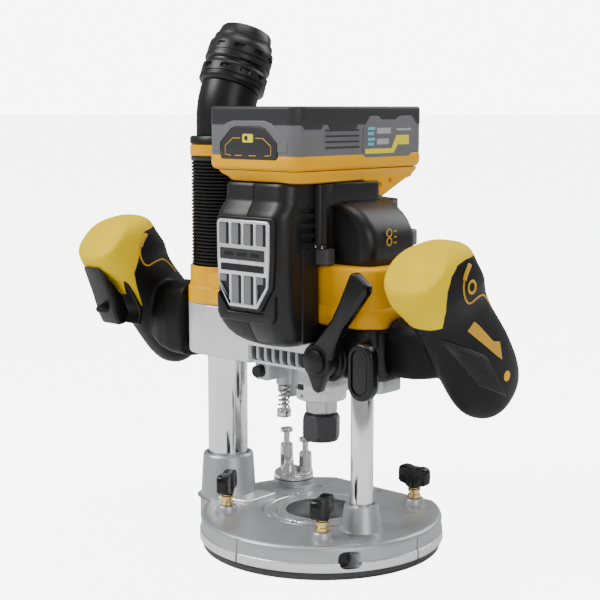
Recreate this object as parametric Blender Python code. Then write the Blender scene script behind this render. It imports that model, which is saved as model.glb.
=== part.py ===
"""Battery plunge router, every sub-part as its own solid.

Lengths in this file are millimetres, turned into metres as each mesh is made. The working frame has the
spindle axis at x = y = 0 and the underside of the sub-base at z = 0. +X runs from the large guide column
to the small one, and -Y is the front. The parent empty "router" then moves everything, so that the
middle of the overall box stands over the world origin.
"""

import bmesh
import bpy
from math import asin, atan2, cos, degrees, hypot, pi, radians, sin
from mathutils import Matrix, Vector

MM = 0.001
GAP = 0.3

# Where the spindle axis stands, measured from the middle of the overall box.
SPINDLE = (12.5, 6.45)

# Base
BASE_R = 82.5
BASE_TOP = 22.0
BASE_FLAT_Y = 69.5
PLATE_TOP = 4.6
PLATE_R = 80.5
PLATE_HOLE_R = 22.0
CENTRE_BORE_R = 30.0
INSERT_R = 39.6
INSERT_FLOOR = 19.8
TUNNELS_Y = (-48.0, 50.0)
TUNNEL_LOW, TUNNEL_HIGH, TUNNEL_WIDE = 7.5, 18.5, 12.0
KNOBS = {"left": (-42.5, -48.0), "front": (42.5, -48.0), "right": (41.0, 50.0)}
KNOB_TURN = {"left": 117, "front": 107, "right": 0}
KNOB_BOSS_TOP = 27.0

# Columns
LARGE = (-73.0, -16.0)
LARGE_R, LARGE_BORE_R, LARGE_TOP = 13.8, 12.0, 266.0
SMALL = (48.5, -16.0)
SMALL_R, SMALL_BORE_R, SMALL_TOP = 7.4, 5.6, 150.0
RUN = 0.3

# Depth stop
TURRET = (-58.0, 36.0)
TURRET_R = 14.2
STEP_CIRCLE = 8.5
STEP_ANGLE = -70.7
ROD = (-55.2, 28.0)
NOSE_FLAT_TURN = 222
LOCK = (-25.0, 119.0)
ROD_R = 3.0
PINION = (-64.5, 143.0)

# Carriage levels
CARRIAGE_LOW, CASTING_TOP = 125.0, 160.0
BAND_RIGHT_LOW, BAND_TOP, BAND_LEFT_TOP = 157.3, 195.0, 182.2
DRUM_TOP, NECK_TOP = 235.0, 246.0
FRONT_Y = -42.2
MOTOR_BORE_R = 36.0
GUIDE_R = 26.5
RIGHT_END = 79.0
SPLIT_X = 27.0
SHANK_R = 6.4

# Controls
LEVER = (41.5, 136.5)
LEVER_END = (76.0, 190.5)
PADDLE = (73.0, 133.0)

# Front cover
COVER_X = (-24.0, 34.0)
PLATE_MID_X = 5.0

# Battery
BATTERY_X = (-32.0, 45.0)
BATTERY_Y = (-75.0, 52.0)
FOOT_TOP, RAIL_TOP, BATTERY_TOP = 253.7, 264.0, 293.0

# Dust tower
TOWER_R = 24.5
ELBOW_R, ELBOW_BORE_R = 20.0, 15.5
ELBOW_LOW, ELBOW_STRAIGHT = 273.7, 284.0
ELBOW_LEAN = 23.0
BEND_R = 45.0
COLLAR_FOOT = 30.9

# Handles
HANDLE_X = {"left": -150.0, "right": 125.0}

COLOURS = {
    "cast": ((0.62, 0.63, 0.64), 0.45, 0.9),
    "machined": ((0.75, 0.75, 0.76), 0.25, 1.0),
    "chrome": ((0.85, 0.85, 0.87), 0.08, 1.0),
    "steel": ((0.45, 0.45, 0.46), 0.3, 1.0),
    "dark_steel": ((0.06, 0.06, 0.065), 0.4, 0.8),
    "brass": ((0.72, 0.5, 0.2), 0.3, 1.0),
    "black": ((0.025, 0.025, 0.028), 0.5, 0.0),
    "soft_black": ((0.03, 0.03, 0.032), 0.75, 0.0),
    "grey": ((0.12, 0.125, 0.13), 0.5, 0.0),
    "yellow": ((0.95, 0.62, 0.03), 0.4, 0.0),
    "copper": ((0.6, 0.3, 0.15), 0.4, 1.0),
    "board": ((0.03, 0.2, 0.08), 0.5, 0.0),
}


def clear_scene():
    for obj in list(bpy.data.objects):
        bpy.data.objects.remove(obj, do_unlink=True)


def make_material(name):
    colour, rough, metal = COLOURS[name]
    material = bpy.data.materials.new(name)
    material.use_nodes = True
    shader = material.node_tree.nodes["Principled BSDF"]
    shader.inputs["Base Color"].default_value = (*colour, 1.0)
    shader.inputs["Roughness"].default_value = rough
    shader.inputs["Metallic"].default_value = metal
    return material


# ---- outlines ------------------------------------------------------------------------------------


def arc(centre, radius, start, end, steps):
    """Points on a circle from start to end, in degrees, both ends included."""
    points = []
    for i in range(steps + 1):
        turn = radians(start + (end - start) * i / steps)
        points.append((centre[0] + radius * cos(turn), centre[1] + radius * sin(turn)))
    return points


def circle(centre, radius, sides):
    return arc(centre, radius, 0, 360 - 360 / sides, sides - 1)


def rounded_box(x_range, y_range, radius, steps=3):
    """A rectangle with round corners, anticlockwise."""
    corners = (
        (x_range[1] - radius, y_range[1] - radius, 0),
        (x_range[0] + radius, y_range[1] - radius, 90),
        (x_range[0] + radius, y_range[0] + radius, 180),
        (x_range[1] - radius, y_range[0] + radius, 270),
    )
    points = []
    for x, y, start in corners:
        points += arc((x, y), radius, start, start + 90, steps)
    return points


def box(x_range, y_range):
    return [(x, y) for x, y in (
        (x_range[0], y_range[0]), (x_range[1], y_range[0]),
        (x_range[1], y_range[1]), (x_range[0], y_range[1]),
    )]


# ---- solids --------------------------------------------------------------------------------------


def make_object(name, bm, colour):
    bmesh.ops.recalc_face_normals(bm, faces=bm.faces)
    bmesh.ops.scale(bm, vec=(MM, MM, MM), verts=bm.verts)
    mesh = bpy.data.meshes.new(name)
    bm.to_mesh(mesh)
    bm.free()
    mesh.materials.append(MATERIALS[colour])
    mesh.shade_smooth()
    mesh.set_sharp_from_angle(angle=radians(35))
    obj = bpy.data.objects.new(name, mesh)
    bpy.context.collection.objects.link(obj)
    obj.parent = ROUTER
    return obj


def prism(name, outline, low, high, colour="black", axis="Z"):
    """An outline pushed along an axis. It is given as (x, y), (x, z) along Y, or (y, z) along X."""
    turn = {
        "Z": lambda u, v, w: (u, v, w),
        "Y": lambda u, v, w: (u, w, v),
        "X": lambda u, v, w: (w, u, v),
    }[axis]
    bm = bmesh.new()
    rings = [[bm.verts.new(turn(u, v, w)) for u, v in outline] for w in (low, high)]
    bridge(bm, rings)
    bm.faces.new(rings[0])
    bm.faces.new(rings[1])
    return make_object(name, bm, colour)


def bridge(bm, rings, closed=False):
    """Quads between each ring and the next, and from the last to the first when closed."""
    pairs = list(zip(rings, rings[1:]))
    if closed:
        pairs.append((rings[-1], rings[0]))
    for lower, upper in pairs:
        count = len(lower)
        for i in range(count):
            j = (i + 1) % count
            bm.faces.new((lower[i], lower[j], upper[j], upper[i]))


def loft(name, rings, colour="black"):
    """A closed skin through rings of points, with flat ends."""
    bm = bmesh.new()
    rows = [[bm.verts.new(point) for point in ring] for ring in rings]
    bridge(bm, rows)
    bm.faces.new(rows[0])
    bm.faces.new(rows[-1])
    return make_object(name, bm, colour)


def turned(name, profile, colour="black", centre=(0.0, 0.0), sides=32):
    """A ring turned about the vertical through centre, from a closed profile of (radius, height)."""
    bm = bmesh.new()
    rows = []
    for radius, height in profile:
        rows.append([bm.verts.new((x, y, height)) for x, y in circle(centre, radius, sides)])
    bridge(bm, rows, closed=True)
    return make_object(name, bm, colour)


def rod(name, centre, steps, colour="black", sides=24, axis="Z"):
    """A solid turned bar from steps of (radius, height), with flat ends."""
    turn = {
        "Z": lambda u, v, w: (u, v, w),
        "Y": lambda u, v, w: (u, w, v),
        "X": lambda u, v, w: (w, u, v),
    }[axis]
    rings = []
    for radius, height in steps:
        rings.append([turn(u, v, height) for u, v in circle(centre, radius, sides)])
    return loft(name, rings, colour)


def tube(name, centre, outer, inner, low, high, colour="black", sides=32):
    return turned(name, [(inner, low), (outer, low), (outer, high), (inner, high)], colour, centre, sides)


def bevel(obj, width, segments=1, angle=40):
    modifier = obj.modifiers.new("Bevel", "BEVEL")
    modifier.width = width * MM
    modifier.segments = segments
    modifier.limit_method = "ANGLE"
    modifier.angle_limit = radians(angle)
    modifier.use_clamp_overlap = True
    return obj


def combine(obj, tools, operation):
    """Booleans obj with each tool, and keeps the tools as hidden helpers."""
    for tool in tools:
        modifier = obj.modifiers.new(tool.name, "BOOLEAN")
        modifier.operation = operation
        modifier.object = tool
        modifier.solver = "EXACT"
        tool.hide_render = True
        tool.display_type = "WIRE"
    return obj


def add(obj, *tools):
    return combine(obj, tools, "UNION")


def cut(obj, *tools):
    return combine(obj, tools, "DIFFERENCE")


def hinge_at(obj, point):
    """Puts the object's origin at a point of its joint's axis, without moving the shape."""
    pivot = Vector(point) * MM
    obj.data.transform(Matrix.Translation(-pivot))
    obj.location = pivot
    return obj


# ---- base ----------------------------------------------------------------------------------------


def disc_outline(radius, flat_y, sides=54):
    """A circle with its back cut off flat."""
    edge = degrees(asin(flat_y / radius))
    return arc((0, 0), radius, 180 - edge, 360 + edge, sides)


def base_casting():
    casting = bevel(prism("base_casting", disc_outline(BASE_R, BASE_FLAT_Y), PLATE_TOP + GAP, BASE_TOP,
                          "cast"), 1.5)
    bosses = [
        rod("base_lobe", LARGE, [(20.0, 5.5), (20.0, 20.6), (18.6, 22.1)], sides=24),
        rod("large_boss", LARGE, [(19.2, 20.0), (17.6, 51.5), (16.6, 53.0)], sides=24),
        rod("small_boss", SMALL, [(13.4, 20.0), (11.1, 38.4), (10.1, 39.4)], sides=20),
        rod("turret_boss", TURRET, [(TURRET_R, 20.0), (TURRET_R, 26.0)], sides=24),
    ]
    holes = [
        rod("centre_bore", (0, 0), [(CENTRE_BORE_R, 0), (CENTRE_BORE_R, 30)], sides=32),
        rod("insert_recess", (0, 0), [(INSERT_R + GAP, INSERT_FLOOR), (INSERT_R + GAP, 30)], sides=36),
        rod("large_socket", LARGE, [(LARGE_R + RUN, 18.2), (LARGE_R + RUN, 60)], sides=24),
        rod("large_chamber", LARGE, [(12.0, 8.5), (12.0, 19)], sides=16),
        rod("small_socket", SMALL, [(SMALL_R + RUN, 8.0), (SMALL_R + RUN, 60)], sides=18),
        rod("pivot_hole", TURRET, [(2.5, 14.0), (2.5, 30)], sides=12),
        rod("tapped_hole", (49.0, 27.0), [(2.2, 12.0), (2.2, 30)], sides=12),
        prism("groove_front", box((-2, 2), (-90, -80.7)), 3, 30),
        prism("groove_right", box((80.7, 90), (-2, 2)), 3, 30),
        dust_duct(),
    ]
    for y in TUNNELS_Y:
        half = TUNNEL_WIDE / 2
        outline = rounded_box((y - half, y + half), (TUNNEL_LOW, TUNNEL_HIGH), 3.0, 1)
        holes.append(prism(f"tunnel_{y:.0f}", outline, -95, 95, axis="X"))
    for side, (x, y) in KNOBS.items():
        bosses.append(rod(f"knob_boss_{side}", (x, y), [(7.0, 20.0), (5.8, KNOB_BOSS_TOP)], sides=16))
        holes.append(rod(f"knob_hole_{side}", (x, y), [(3.5, 16.0), (3.5, 30)], sides=14))
    add(casting, *bosses)
    return cut(casting, *holes)


def dust_duct():
    """The passage from under the large column to the centre bore."""
    length = hypot(*LARGE)
    along = (LARGE[0] / length, LARGE[1] / length)
    across = (-along[1], along[0])
    outline = []
    for reach, side in ((15, -8), (length, -8), (length, 8), (15, 8)):
        outline.append((along[0] * reach + across[0] * side, along[1] * reach + across[1] * side))
    return prism("dust_duct", outline, 9.0, 17.0)


def sub_base():
    plate = prism("sub_base", disc_outline(PLATE_R, BASE_FLAT_Y - 2), 0, PLATE_TOP, "soft_black")
    return cut(plate, rod("sub_base_hole", (0, 0), [(PLATE_HOLE_R, -5), (PLATE_HOLE_R, 10)], sides=32))


def guide_insert():
    return tube("guide_insert", (0, 0), INSERT_R, 24.0, 20.1, 22.6, "machined", 40)


def columns():
    tube("left_column", LARGE, LARGE_R, LARGE_BORE_R, 18.5, LARGE_TOP, "chrome", 28)
    tube("right_column", SMALL, SMALL_R, SMALL_BORE_R, 8.3, SMALL_TOP, "chrome", 20)


def fence_knobs():
    half = [(4.8, 34.6), (5.6, 36.0), (9.8, 36.8), (11.3, 38.4), (11.5, 44.0), (11.2, 47.2), (9.8, 49.2),
            (5.4, 49.4), (2.4, 48.6)]
    wing = half + [(-u, v) for u, v in reversed(half)]
    for side, (x, y) in KNOBS.items():
        steps = [(2.4, 19.2), (3.2, 20.2), (3.2, 34.3)]
        hinge_at(rod(f"clamp_screw_{side}", (x, y), steps, "brass", 14), (x, y, 27))
        knob = prism(f"clamp_wing_{side}", [(x + u, v) for u, v in wing], y - 4, y + 4, "black", "Y")
        hinge_at(bevel(knob, 1.2), (x, y, 27))
        knob.data.transform(Matrix.Rotation(radians(KNOB_TURN[side]), 4, "Z"))


# ---- depth stop ----------------------------------------------------------------------------------


def on_turret(turn):
    """A point of the turret's step circle, turned this far from the step under the depth rod."""
    angle = radians(STEP_ANGLE + turn)
    return (TURRET[0] + STEP_CIRCLE * cos(angle), TURRET[1] + STEP_CIRCLE * sin(angle))


def turret():
    plate = rod("turret_plate", TURRET, [(TURRET_R - 0.4, 26.3), (TURRET_R, 27.0), (TURRET_R, 30.4),
                                         (TURRET_R - 0.7, 31.2)], "machined", 32)
    add(plate, rod("step_low", on_turret(0), [(4.6, 30.0), (3.2, 41.5)], sides=20))
    holes = [rod("turret_bore", TURRET, [(2.5, 20), (2.5, 40)], sides=12)]
    for turn in (120, 240):
        centre = on_turret(turn)
        add(plate, rod(f"post_{turn}", centre, [(4.6, 30.0), (4.2, 44.0)], sides=20))
        holes.append(rod(f"post_hole_{turn}", centre, [(2.7, 33.0), (2.7, 50)], sides=12))
    cut(plate, *holes)
    hinge_at(plate, (*TURRET, 26.3))
    for name, turn, top in (("stop_screw_short", 120, 55.0), ("stop_screw_tall", 240, 61.0)):
        centre = on_turret(turn)
        steps = [(2.4, 33.6), (2.4, top - 6), (4.3, top - 5.8), (4.3, top - 0.6), (3.7, top)]
        screw = rod(name, centre, steps, "machined", 18)
        slot = prism(f"{name}_slot", box((centre[0] - 6, centre[0] + 6), (centre[1] - 0.7, centre[1] + 0.7)),
                     top - 2, top + 2)
        hinge_at(cut(screw, slot), (*TURRET, 26.3))
    steps = [(2.2, 14.5), (2.2, 31.5), (4.0, 31.5), (4.0, 33.4), (3.4, 34.0)]
    rod("turret_pivot_screw", TURRET, steps, "steel", 16)


def depth_rod():
    steps = [(2.2, 100.0), (ROD_R, 101.0), (ROD_R, 232.0), (6.0, 232.0), (6.0, 242.0), (5.0, 243.0)]
    rod("depth_rod", ROD, steps, "steel", 18)
    wheel = [(5.8, 24.0), (5.8, 32.0), (2.5, 32.0), (2.5, 38.6), (11.0, 38.6), (11.0, 50.0), (9.6, 51.4)]
    knob = rod("depth_knob", PINION, wheel, "black", 24, "Y")
    return hinge_at(knob, (PINION[0], 38.6, PINION[1]))


# ---- dust tower ----------------------------------------------------------------------------------


def bellows():
    pleats, low, high = 7, BAND_LEFT_TOP + GAP, 259.7
    pitch = (high - low) / pleats
    profile = [(18.0, low)]
    for i in range(pleats):
        profile.append((20.8, low + pitch * (i + 0.02)))
        profile.append((24.0, low + pitch * (i + 0.5)))
    profile += [(20.8, high), (18.0, high)]
    return turned("bellows", profile, "black", LARGE, 20)


def dust_rings():
    tube("dust_ring", LARGE, TOWER_R, LARGE_R + RUN, 260.0, 267.4, "yellow", 28)
    tube("dust_cap", LARGE, TOWER_R, 16.0, 267.7, 273.4, "black", 28)


def elbow_frame(length):
    """Centre and lean, in radians, at this distance along the elbow's centre line from its foot."""
    straight = ELBOW_STRAIGHT - ELBOW_LOW
    lean = radians(ELBOW_LEAN)
    bend = BEND_R * lean
    if length <= straight:
        return (0.0, ELBOW_LOW + length), 0.0
    turn = min((length - straight) / BEND_R, lean)
    y = BEND_R * (1 - cos(turn))
    z = ELBOW_STRAIGHT + BEND_R * sin(turn)
    rest = max(0.0, length - straight - bend)
    return (y + rest * sin(turn), z + rest * cos(turn)), turn


def elbow_ring(length, radius, sides=20):
    (y, z), lean = elbow_frame(length)
    ring = []
    for u, v in circle((0, 0), radius, sides):
        ring.append((LARGE[0] + u, LARGE[1] + y + v * cos(lean), z - v * sin(lean)))
    return ring


def bent_sleeve(name, outer, inner, colour, sides=20):
    """A pipe around the elbow's centre line, from (length, radius) pairs outside and inside."""
    rings = [elbow_ring(length, radius, sides) for length, radius in outer + inner[::-1]]
    bm = bmesh.new()
    rows = [[bm.verts.new(point) for point in ring] for ring in rings]
    bridge(bm, rows, closed=True)
    return make_object(name, bm, colour)


def dust_elbow():
    stations = [0, 5, 10.3, 16.3, 22.3, 28.4]
    step = COLLAR_FOOT - GAP
    outer = [(s, ELBOW_R) for s in stations] + [(step, ELBOW_R), (step, 17.6), (62.0, 17.6)]
    inner = [(s, ELBOW_BORE_R) for s in stations] + [(62.0, ELBOW_BORE_R)]
    elbow = bent_sleeve("dust_elbow", outer, inner, "black")
    hinge_at(elbow, (*LARGE, ELBOW_LOW))
    outer = [(COLLAR_FOOT, 20.6), (32.0, 22.4), (44.6, 22.8), (45.4, 21.0), (47.2, 21.0), (48.0, 22.8),
             (61.5, 22.2), (66.0, 18.9), (71.6, 17.5), (73.0, 16.5)]
    inner = [(COLLAR_FOOT, 18.0), (63.0, 18.0), (63.0, 14.5), (73.0, 14.5)]
    collar = bent_sleeve("dust_collar", outer, inner, "black")
    (y, z), _ = elbow_frame(COLLAR_FOOT)
    hinge_at(collar, (LARGE[0], LARGE[1] + y, z))


# ---- carriage ------------------------------------------------------------------------------------


def motor_back(radius, start, end, steps=10):
    return arc((0, 0), radius, start, end, steps)


def carriage_casting():
    outline = [(-73, FRONT_Y), (SPLIT_X - GAP, FRONT_Y), (SPLIT_X - GAP, 30)] + motor_back(42.0, 50, 125)
    outline += [(-34, 38), (-72.5, 38), (-76, 34), (-76, 10)]
    casting = bevel(prism("carriage_casting", outline, CARRIAGE_LOW, CASTING_TOP, "cast"), 1.5)
    add(casting, rod("guide_left", LARGE, [(GUIDE_R - 1.5, CARRIAGE_LOW), (GUIDE_R, CARRIAGE_LOW + 1.5),
                                           (GUIDE_R, CASTING_TOP)], sides=32),
        bevel(prism("lock_boss", box((-31.5, -18.5), (-33, -13)), 112.8, 127), 2.0))
    holes = [
        rod("guide_left_bore", LARGE, [(16.3, 100), (16.3, 200)], sides=24),
        rod("fan_space", (0, 0), [(MOTOR_BORE_R, 130), (MOTOR_BORE_R, 200)], sides=32),
        rod("shaft_way", (0, 0), [(14, 100), (14, 140)], sides=24),
        rod("rod_way", ROD, [(ROD_R + 0.4, 100), (ROD_R + 0.4, 200)], sides=16),
        rod("pinion_way", PINION, [(6.3, 23.5), (6.3, 32.6)], sides=20, axis="Y"),
        rod("pinion_shaft_way", PINION, [(2.9, 30), (2.9, 50)], sides=12, axis="Y"),
        rod("lock_hole", LOCK, [(4.4, -45), (4.4, -15.5)], sides=18, axis="Y"),
    ]
    for i in range(6):
        x = -25.5 + 7.6 * i
        holes.append(prism(f"vent_{i}", box((x, x + 3.4), (-50, -37)), 120, 137))
    return cut(casting, *holes)


def motor_housing():
    main = [(-76, FRONT_Y + 0.4), (31.5, FRONT_Y + 0.4), (31.5, 28.0)] + motor_back(42.0, 45, 138)
    main += [(-44, 14), (-76, 10)]
    housing = prism("motor_housing", main, CASTING_TOP + GAP, BAND_LEFT_TOP, "yellow")
    upper = [(-31, FRONT_Y + 0.4), (31.5, FRONT_Y + 0.4), (31.5, 28.0)] + motor_back(42.0, 45, 141)
    add(housing, rod("lug_left", LARGE, [(GUIDE_R, CASTING_TOP + GAP), (GUIDE_R, BAND_LEFT_TOP - 1.5),
                                         (GUIDE_R - 1.5, BAND_LEFT_TOP)], sides=32),
        prism("band_upper", upper, BAND_LEFT_TOP - 3, BAND_TOP),
        bevel(prism("band_right", right_outline(), BAND_RIGHT_LOW, BAND_TOP), 2.0, 2, 50))
    holes = [
        rod("lug_left_bore", LARGE, [(14.6, 150), (14.6, 190)], sides=24),
        rod("stator_space", (0, 0), [(MOTOR_BORE_R, 150), (MOTOR_BORE_R, 210)], sides=32),
        rod("small_column_space", SMALL, [(8.7, 150), (8.7, 210)], sides=18),
    ]
    return cut(housing, *holes)


def right_outline():
    """Plan of the block around the small column, from behind the front cover to the right handle."""
    return ([(SPLIT_X, -41.8)] + arc((63, -25.8), 16.0, -90, -20, 5) + [(RIGHT_END, -16), (RIGHT_END, 10)]
            + [(66, 20), (SPLIT_X, 24)])


def lower_housing():
    outline = ([(SPLIT_X, -38.0)] + arc((67, -26.0), 12.0, -90, 0, 4)
               + [(RIGHT_END, 8), (62, 18), (SPLIT_X, 24)])
    block = bevel(prism("lower_housing", outline, CARRIAGE_LOW, BAND_RIGHT_LOW - GAP, "black"), 1.5)
    add(block, rod("lever_boss", LEVER, [(14.0, -36), (14.0, -43.0), (13.0, -44.0)], sides=28, axis="Y"))
    return cut(block, rod("right_bore", SMALL, [(9.8, 100), (9.8, 170)], sides=18),
               rod("lever_hole", LEVER, [(4.3, -50), (4.3, -30)], sides=16, axis="Y"),
               rod("paddle_hole", PADDLE, [(3.3, -50), (3.3, -30)], sides=14, axis="Y"),
               rod("lever_side", (0, 0), [(MOTOR_BORE_R, 130), (MOTOR_BORE_R, 170)], sides=32))


def bushes():
    tube("left_bush", LARGE, 16.0, LARGE_R + RUN, 127, 157, "brass", 24)
    tube("right_bush", SMALL, 9.5, SMALL_R + RUN, 127, 154, "brass", 18)


def upper_housing():
    outline = [(-31, FRONT_Y + 0.4), (35.5, FRONT_Y + 0.4), (36.5, -31.0), (61.0, -31.0), (66.0, -26.0),
               (66.0, 6.0), (60.0, 18.0), (46.0, 27.0)] + motor_back(42.0, 48, 141)
    housing = bevel(prism("upper_housing", outline, BAND_TOP + GAP, DRUM_TOP, "black"), 2.0, 2, 30)
    neck = [(-29, FRONT_Y + 0.4), (34, FRONT_Y + 0.4), (38, -38), (38, 8), (28, 12), (28, 33), (-29, 33)]
    add(housing, bevel(prism("neck", neck, DRUM_TOP - 4, NECK_TOP), 1.5))
    shoulder = prism("shoulder", [(47, 236), (47, 235), (67, 218), (80, 218), (80, 240)], -50, 60, axis="Y")
    return cut(housing, shoulder,
               rod("rotor_space", (0, 0), [(MOTOR_BORE_R, 190), (MOTOR_BORE_R, 232)], sides=32),
               rod("bearing_seat", (0, 0), [(11.3, 230), (11.3, 241)], sides=24),
               rod("column_top_space", SMALL, [(8.7, 190), (8.7, 210)], sides=18),
               rod("dial_pocket", (54.0, 16.0), [(10.6, 204.5), (10.6, 215.5)], sides=18))


def speed_dial():
    steps = [(9.4, 205.2), (10.0, 206.0), (10.0, 214.0), (9.4, 214.8)]
    return hinge_at(rod("speed_dial", (54.0, 16.0), steps, "grey", 24), (54.0, 16.0, 205.2))


def front_cover():
    side = [(FRONT_Y - GAP, 150), (-52, 146), (-64, 143.5), (-70, 149), (-75, 160), (-76.5, 168),
            (-76.5, 228), (-72, 235), (-72, 245), (-70, NECK_TOP), (FRONT_Y - GAP, NECK_TOP)]
    cover = bevel(prism("front_cover", side, *COVER_X, "black", "X"), 3.0, 2, 50)
    holes = [prism("board_space", box((-17, 27), (-70, -30)), 162, 236)]
    for i in range(4):
        z = 209.5 + 6 * i
        holes.append(prism(f"side_vent_{i}", box((-61, -45), (z, z + 3)), 25, 40, axis="X"))
    return cut(cover, *holes)


def control_board():
    return prism("control_board", box((-13, 23), (-62, -59.5)), 168, 230, "board")


def louvre_plate():
    outline = [(PLATE_MID_X - 12.0, 169.7), (PLATE_MID_X + 12.0, 169.7), (PLATE_MID_X + 20.3, 183.0),
               (PLATE_MID_X + 22.0, 220.0), (PLATE_MID_X + 19.0, 224.0), (PLATE_MID_X - 19.0, 224.0),
               (PLATE_MID_X - 22.0, 220.0), (PLATE_MID_X - 20.3, 183.0)]
    plate = bevel(prism("louvre_plate", outline, -80.5, -76.9, "machined", "Y"), 0.8)
    slots = []
    for i in range(4):
        x = PLATE_MID_X - 15.2 + 8.4 * i
        top = rounded_box((x, x + 5.0), (205.0, 220.5), 2.2, 1)
        low = rounded_box((x, x + 5.0), (174.0 if 0 < i < 3 else 180.0, 190.5), 2.2, 1)
        slots.append(prism(f"slot_top_{i}", top, -90, -70, axis="Y"))
        slots.append(prism(f"slot_low_{i}", low, -90, -70, axis="Y"))
    return cut(plate, *slots)


def nose_casting():
    profile = [(9.0, 99.0), (16.0, 99.0), (17.0, 100.0), (17.0, 105.5), (20.8, 106.5), (20.8, 124.7),
               (13.3, 124.7), (13.3, 107.5), (9.0, 107.5)]
    nose = turned("nose_casting", profile, "cast", sides=32)
    turn = radians(NOSE_FLAT_TURN)
    flat = [(cos(turn) * reach - sin(turn) * side, sin(turn) * reach + cos(turn) * side)
            for reach, side in ((16, -30), (40, -30), (40, 30), (16, 30))]
    return cut(nose, prism("nose_flat", flat, 90, 130))


def spindle_lock():
    rod("spindle_lock", LOCK, [(4.0, -37.5), (4.0, -19.5)], "black", 18, "Y")


def rod_guide():
    guide = rod("rod_guide", (-43.5, 16.0), [(6.0, 92.0), (8.5, 96.0), (8.5, 124.7)], "cast", 24)
    add(guide, rod("bumper_post", (-38.0, 4.0), [(5.4, 103.0), (5.4, 124.7)], sides=18))
    return cut(guide, rod("bumper_hole", (-38.0, 4.0), [(2.2, 90), (2.2, 122)], sides=12))


def bumper():
    steps = [(4.4, 79.3), (5.0, 80.0), (5.0, 85.0), (1.8, 85.0), (1.8, 113.0)]
    rod("bumper_screw", (-38.0, 4.0), steps, "machined", 16)
    coil("bumper_spring", (-38.0, 4.0), 3.2, 0.55, 85.9, 102.1, 4, 8, 4, "steel")


def coil(name, centre, radius, wire, low, high, turns, per_turn, sides, colour):
    """A helical spring with cut ends."""
    rings = []
    count = turns * per_turn
    slope = atan2((high - low) / turns, 2 * pi * radius)
    for i in range(count + 1):
        turn = 2 * pi * i / per_turn
        z = low + (high - low) * i / count
        ring = []
        for u, v in circle((0, 0), wire, sides):
            reach = radius + u
            ring.append((centre[0] + reach * cos(turn) + v * sin(slope) * sin(turn),
                         centre[1] + reach * sin(turn) - v * sin(slope) * cos(turn), z + v * cos(slope)))
        rings.append(ring)
    return loft(name, rings, colour)


def battery_foot():
    outline = rounded_box((BATTERY_X[0] + 3, BATTERY_X[1] - 4), (BATTERY_Y[0] + 3, BATTERY_Y[1] - 2), 8.0)
    foot = bevel(prism("battery_foot", outline, NECK_TOP + GAP, FOOT_TOP - GAP, "yellow"), 1.5)
    side = [(12.5, 248), (45, 251), (40, 247), (19, 236.0), (12.5, 240)]
    return add(foot, prism("gusset", side, 29.0, 40.0, axis="X"))


def battery():
    base_outline = rounded_box(BATTERY_X, BATTERY_Y, 10.0)
    bevel(prism("battery_base", base_outline, FOOT_TOP, RAIL_TOP - GAP, "yellow"), 3.0)
    case = bevel(prism("battery_case", base_outline, RAIL_TOP, BATTERY_TOP, "grey"), 3.0, 2, 50)
    pocket = prism("release_pocket", rounded_box((-17.5, 30.5), (266.5, 281.5), 3.0), -90, -67, axis="Y")
    cut(case, pocket)
    outline = rounded_box((-16.8, 29.8), (267.2, 280.8), 2.6)
    prism("battery_release", outline, -75.0, -71.3, "black", "Y")


# ---- motor ---------------------------------------------------------------------------------------


def motor():
    tube("stator", (0, 0), 35.2, 19.5, 148, 192, "copper", 28)
    tube("lower_bearing", (0, 0), 13.0, 6.4, 108, 118, "steel", 20)
    tube("upper_bearing", (0, 0), 11.0, 5.4, 232.5, 240.5, "steel", 20)
    steps = [(8.0, 74.0), (8.0, 88.6), (9.5, 88.6), (9.5, 93.0), (10.7, 93.0), (10.7, 98.6), (6.0, 98.6),
             (6.0, 200.0), (5.0, 200.0), (5.0, 240.2)]
    shaft = rod("spindle_shaft", (0, 0), steps, "steel", 20)
    cut(shaft, rod("shank_bore", (0, 0), [(SHANK_R, 70), (SHANK_R, 96)], sides=20))
    tube("rotor", (0, 0), 18.8, 6.4, 149, 191, "dark_steel", 24)
    fan = tube("cooling_fan", (0, 0), 32.0, 6.4, 133, 135.5, "black", 32)
    for i in range(9):
        turn = radians(40 * i)
        ends = [(cos(turn) * reach - sin(turn) * side, sin(turn) * reach + cos(turn) * side)
                for reach, side in ((10, -0.9), (31, -0.9), (31, 0.9), (10, 0.9))]
        add(fan, prism(f"blade_{i}", ends, 135.0, 143.0))
    nut = prism("collet_nut", circle((0, 0), 13.3, 6), 70.5, 88.3, "dark_steel")
    bevel(nut, 1.5, 1, 80)
    cut(nut, rod("nut_bore", (0, 0), [(8.3, 60), (8.3, 90)], sides=20))


# ---- controls ------------------------------------------------------------------------------------


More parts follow.
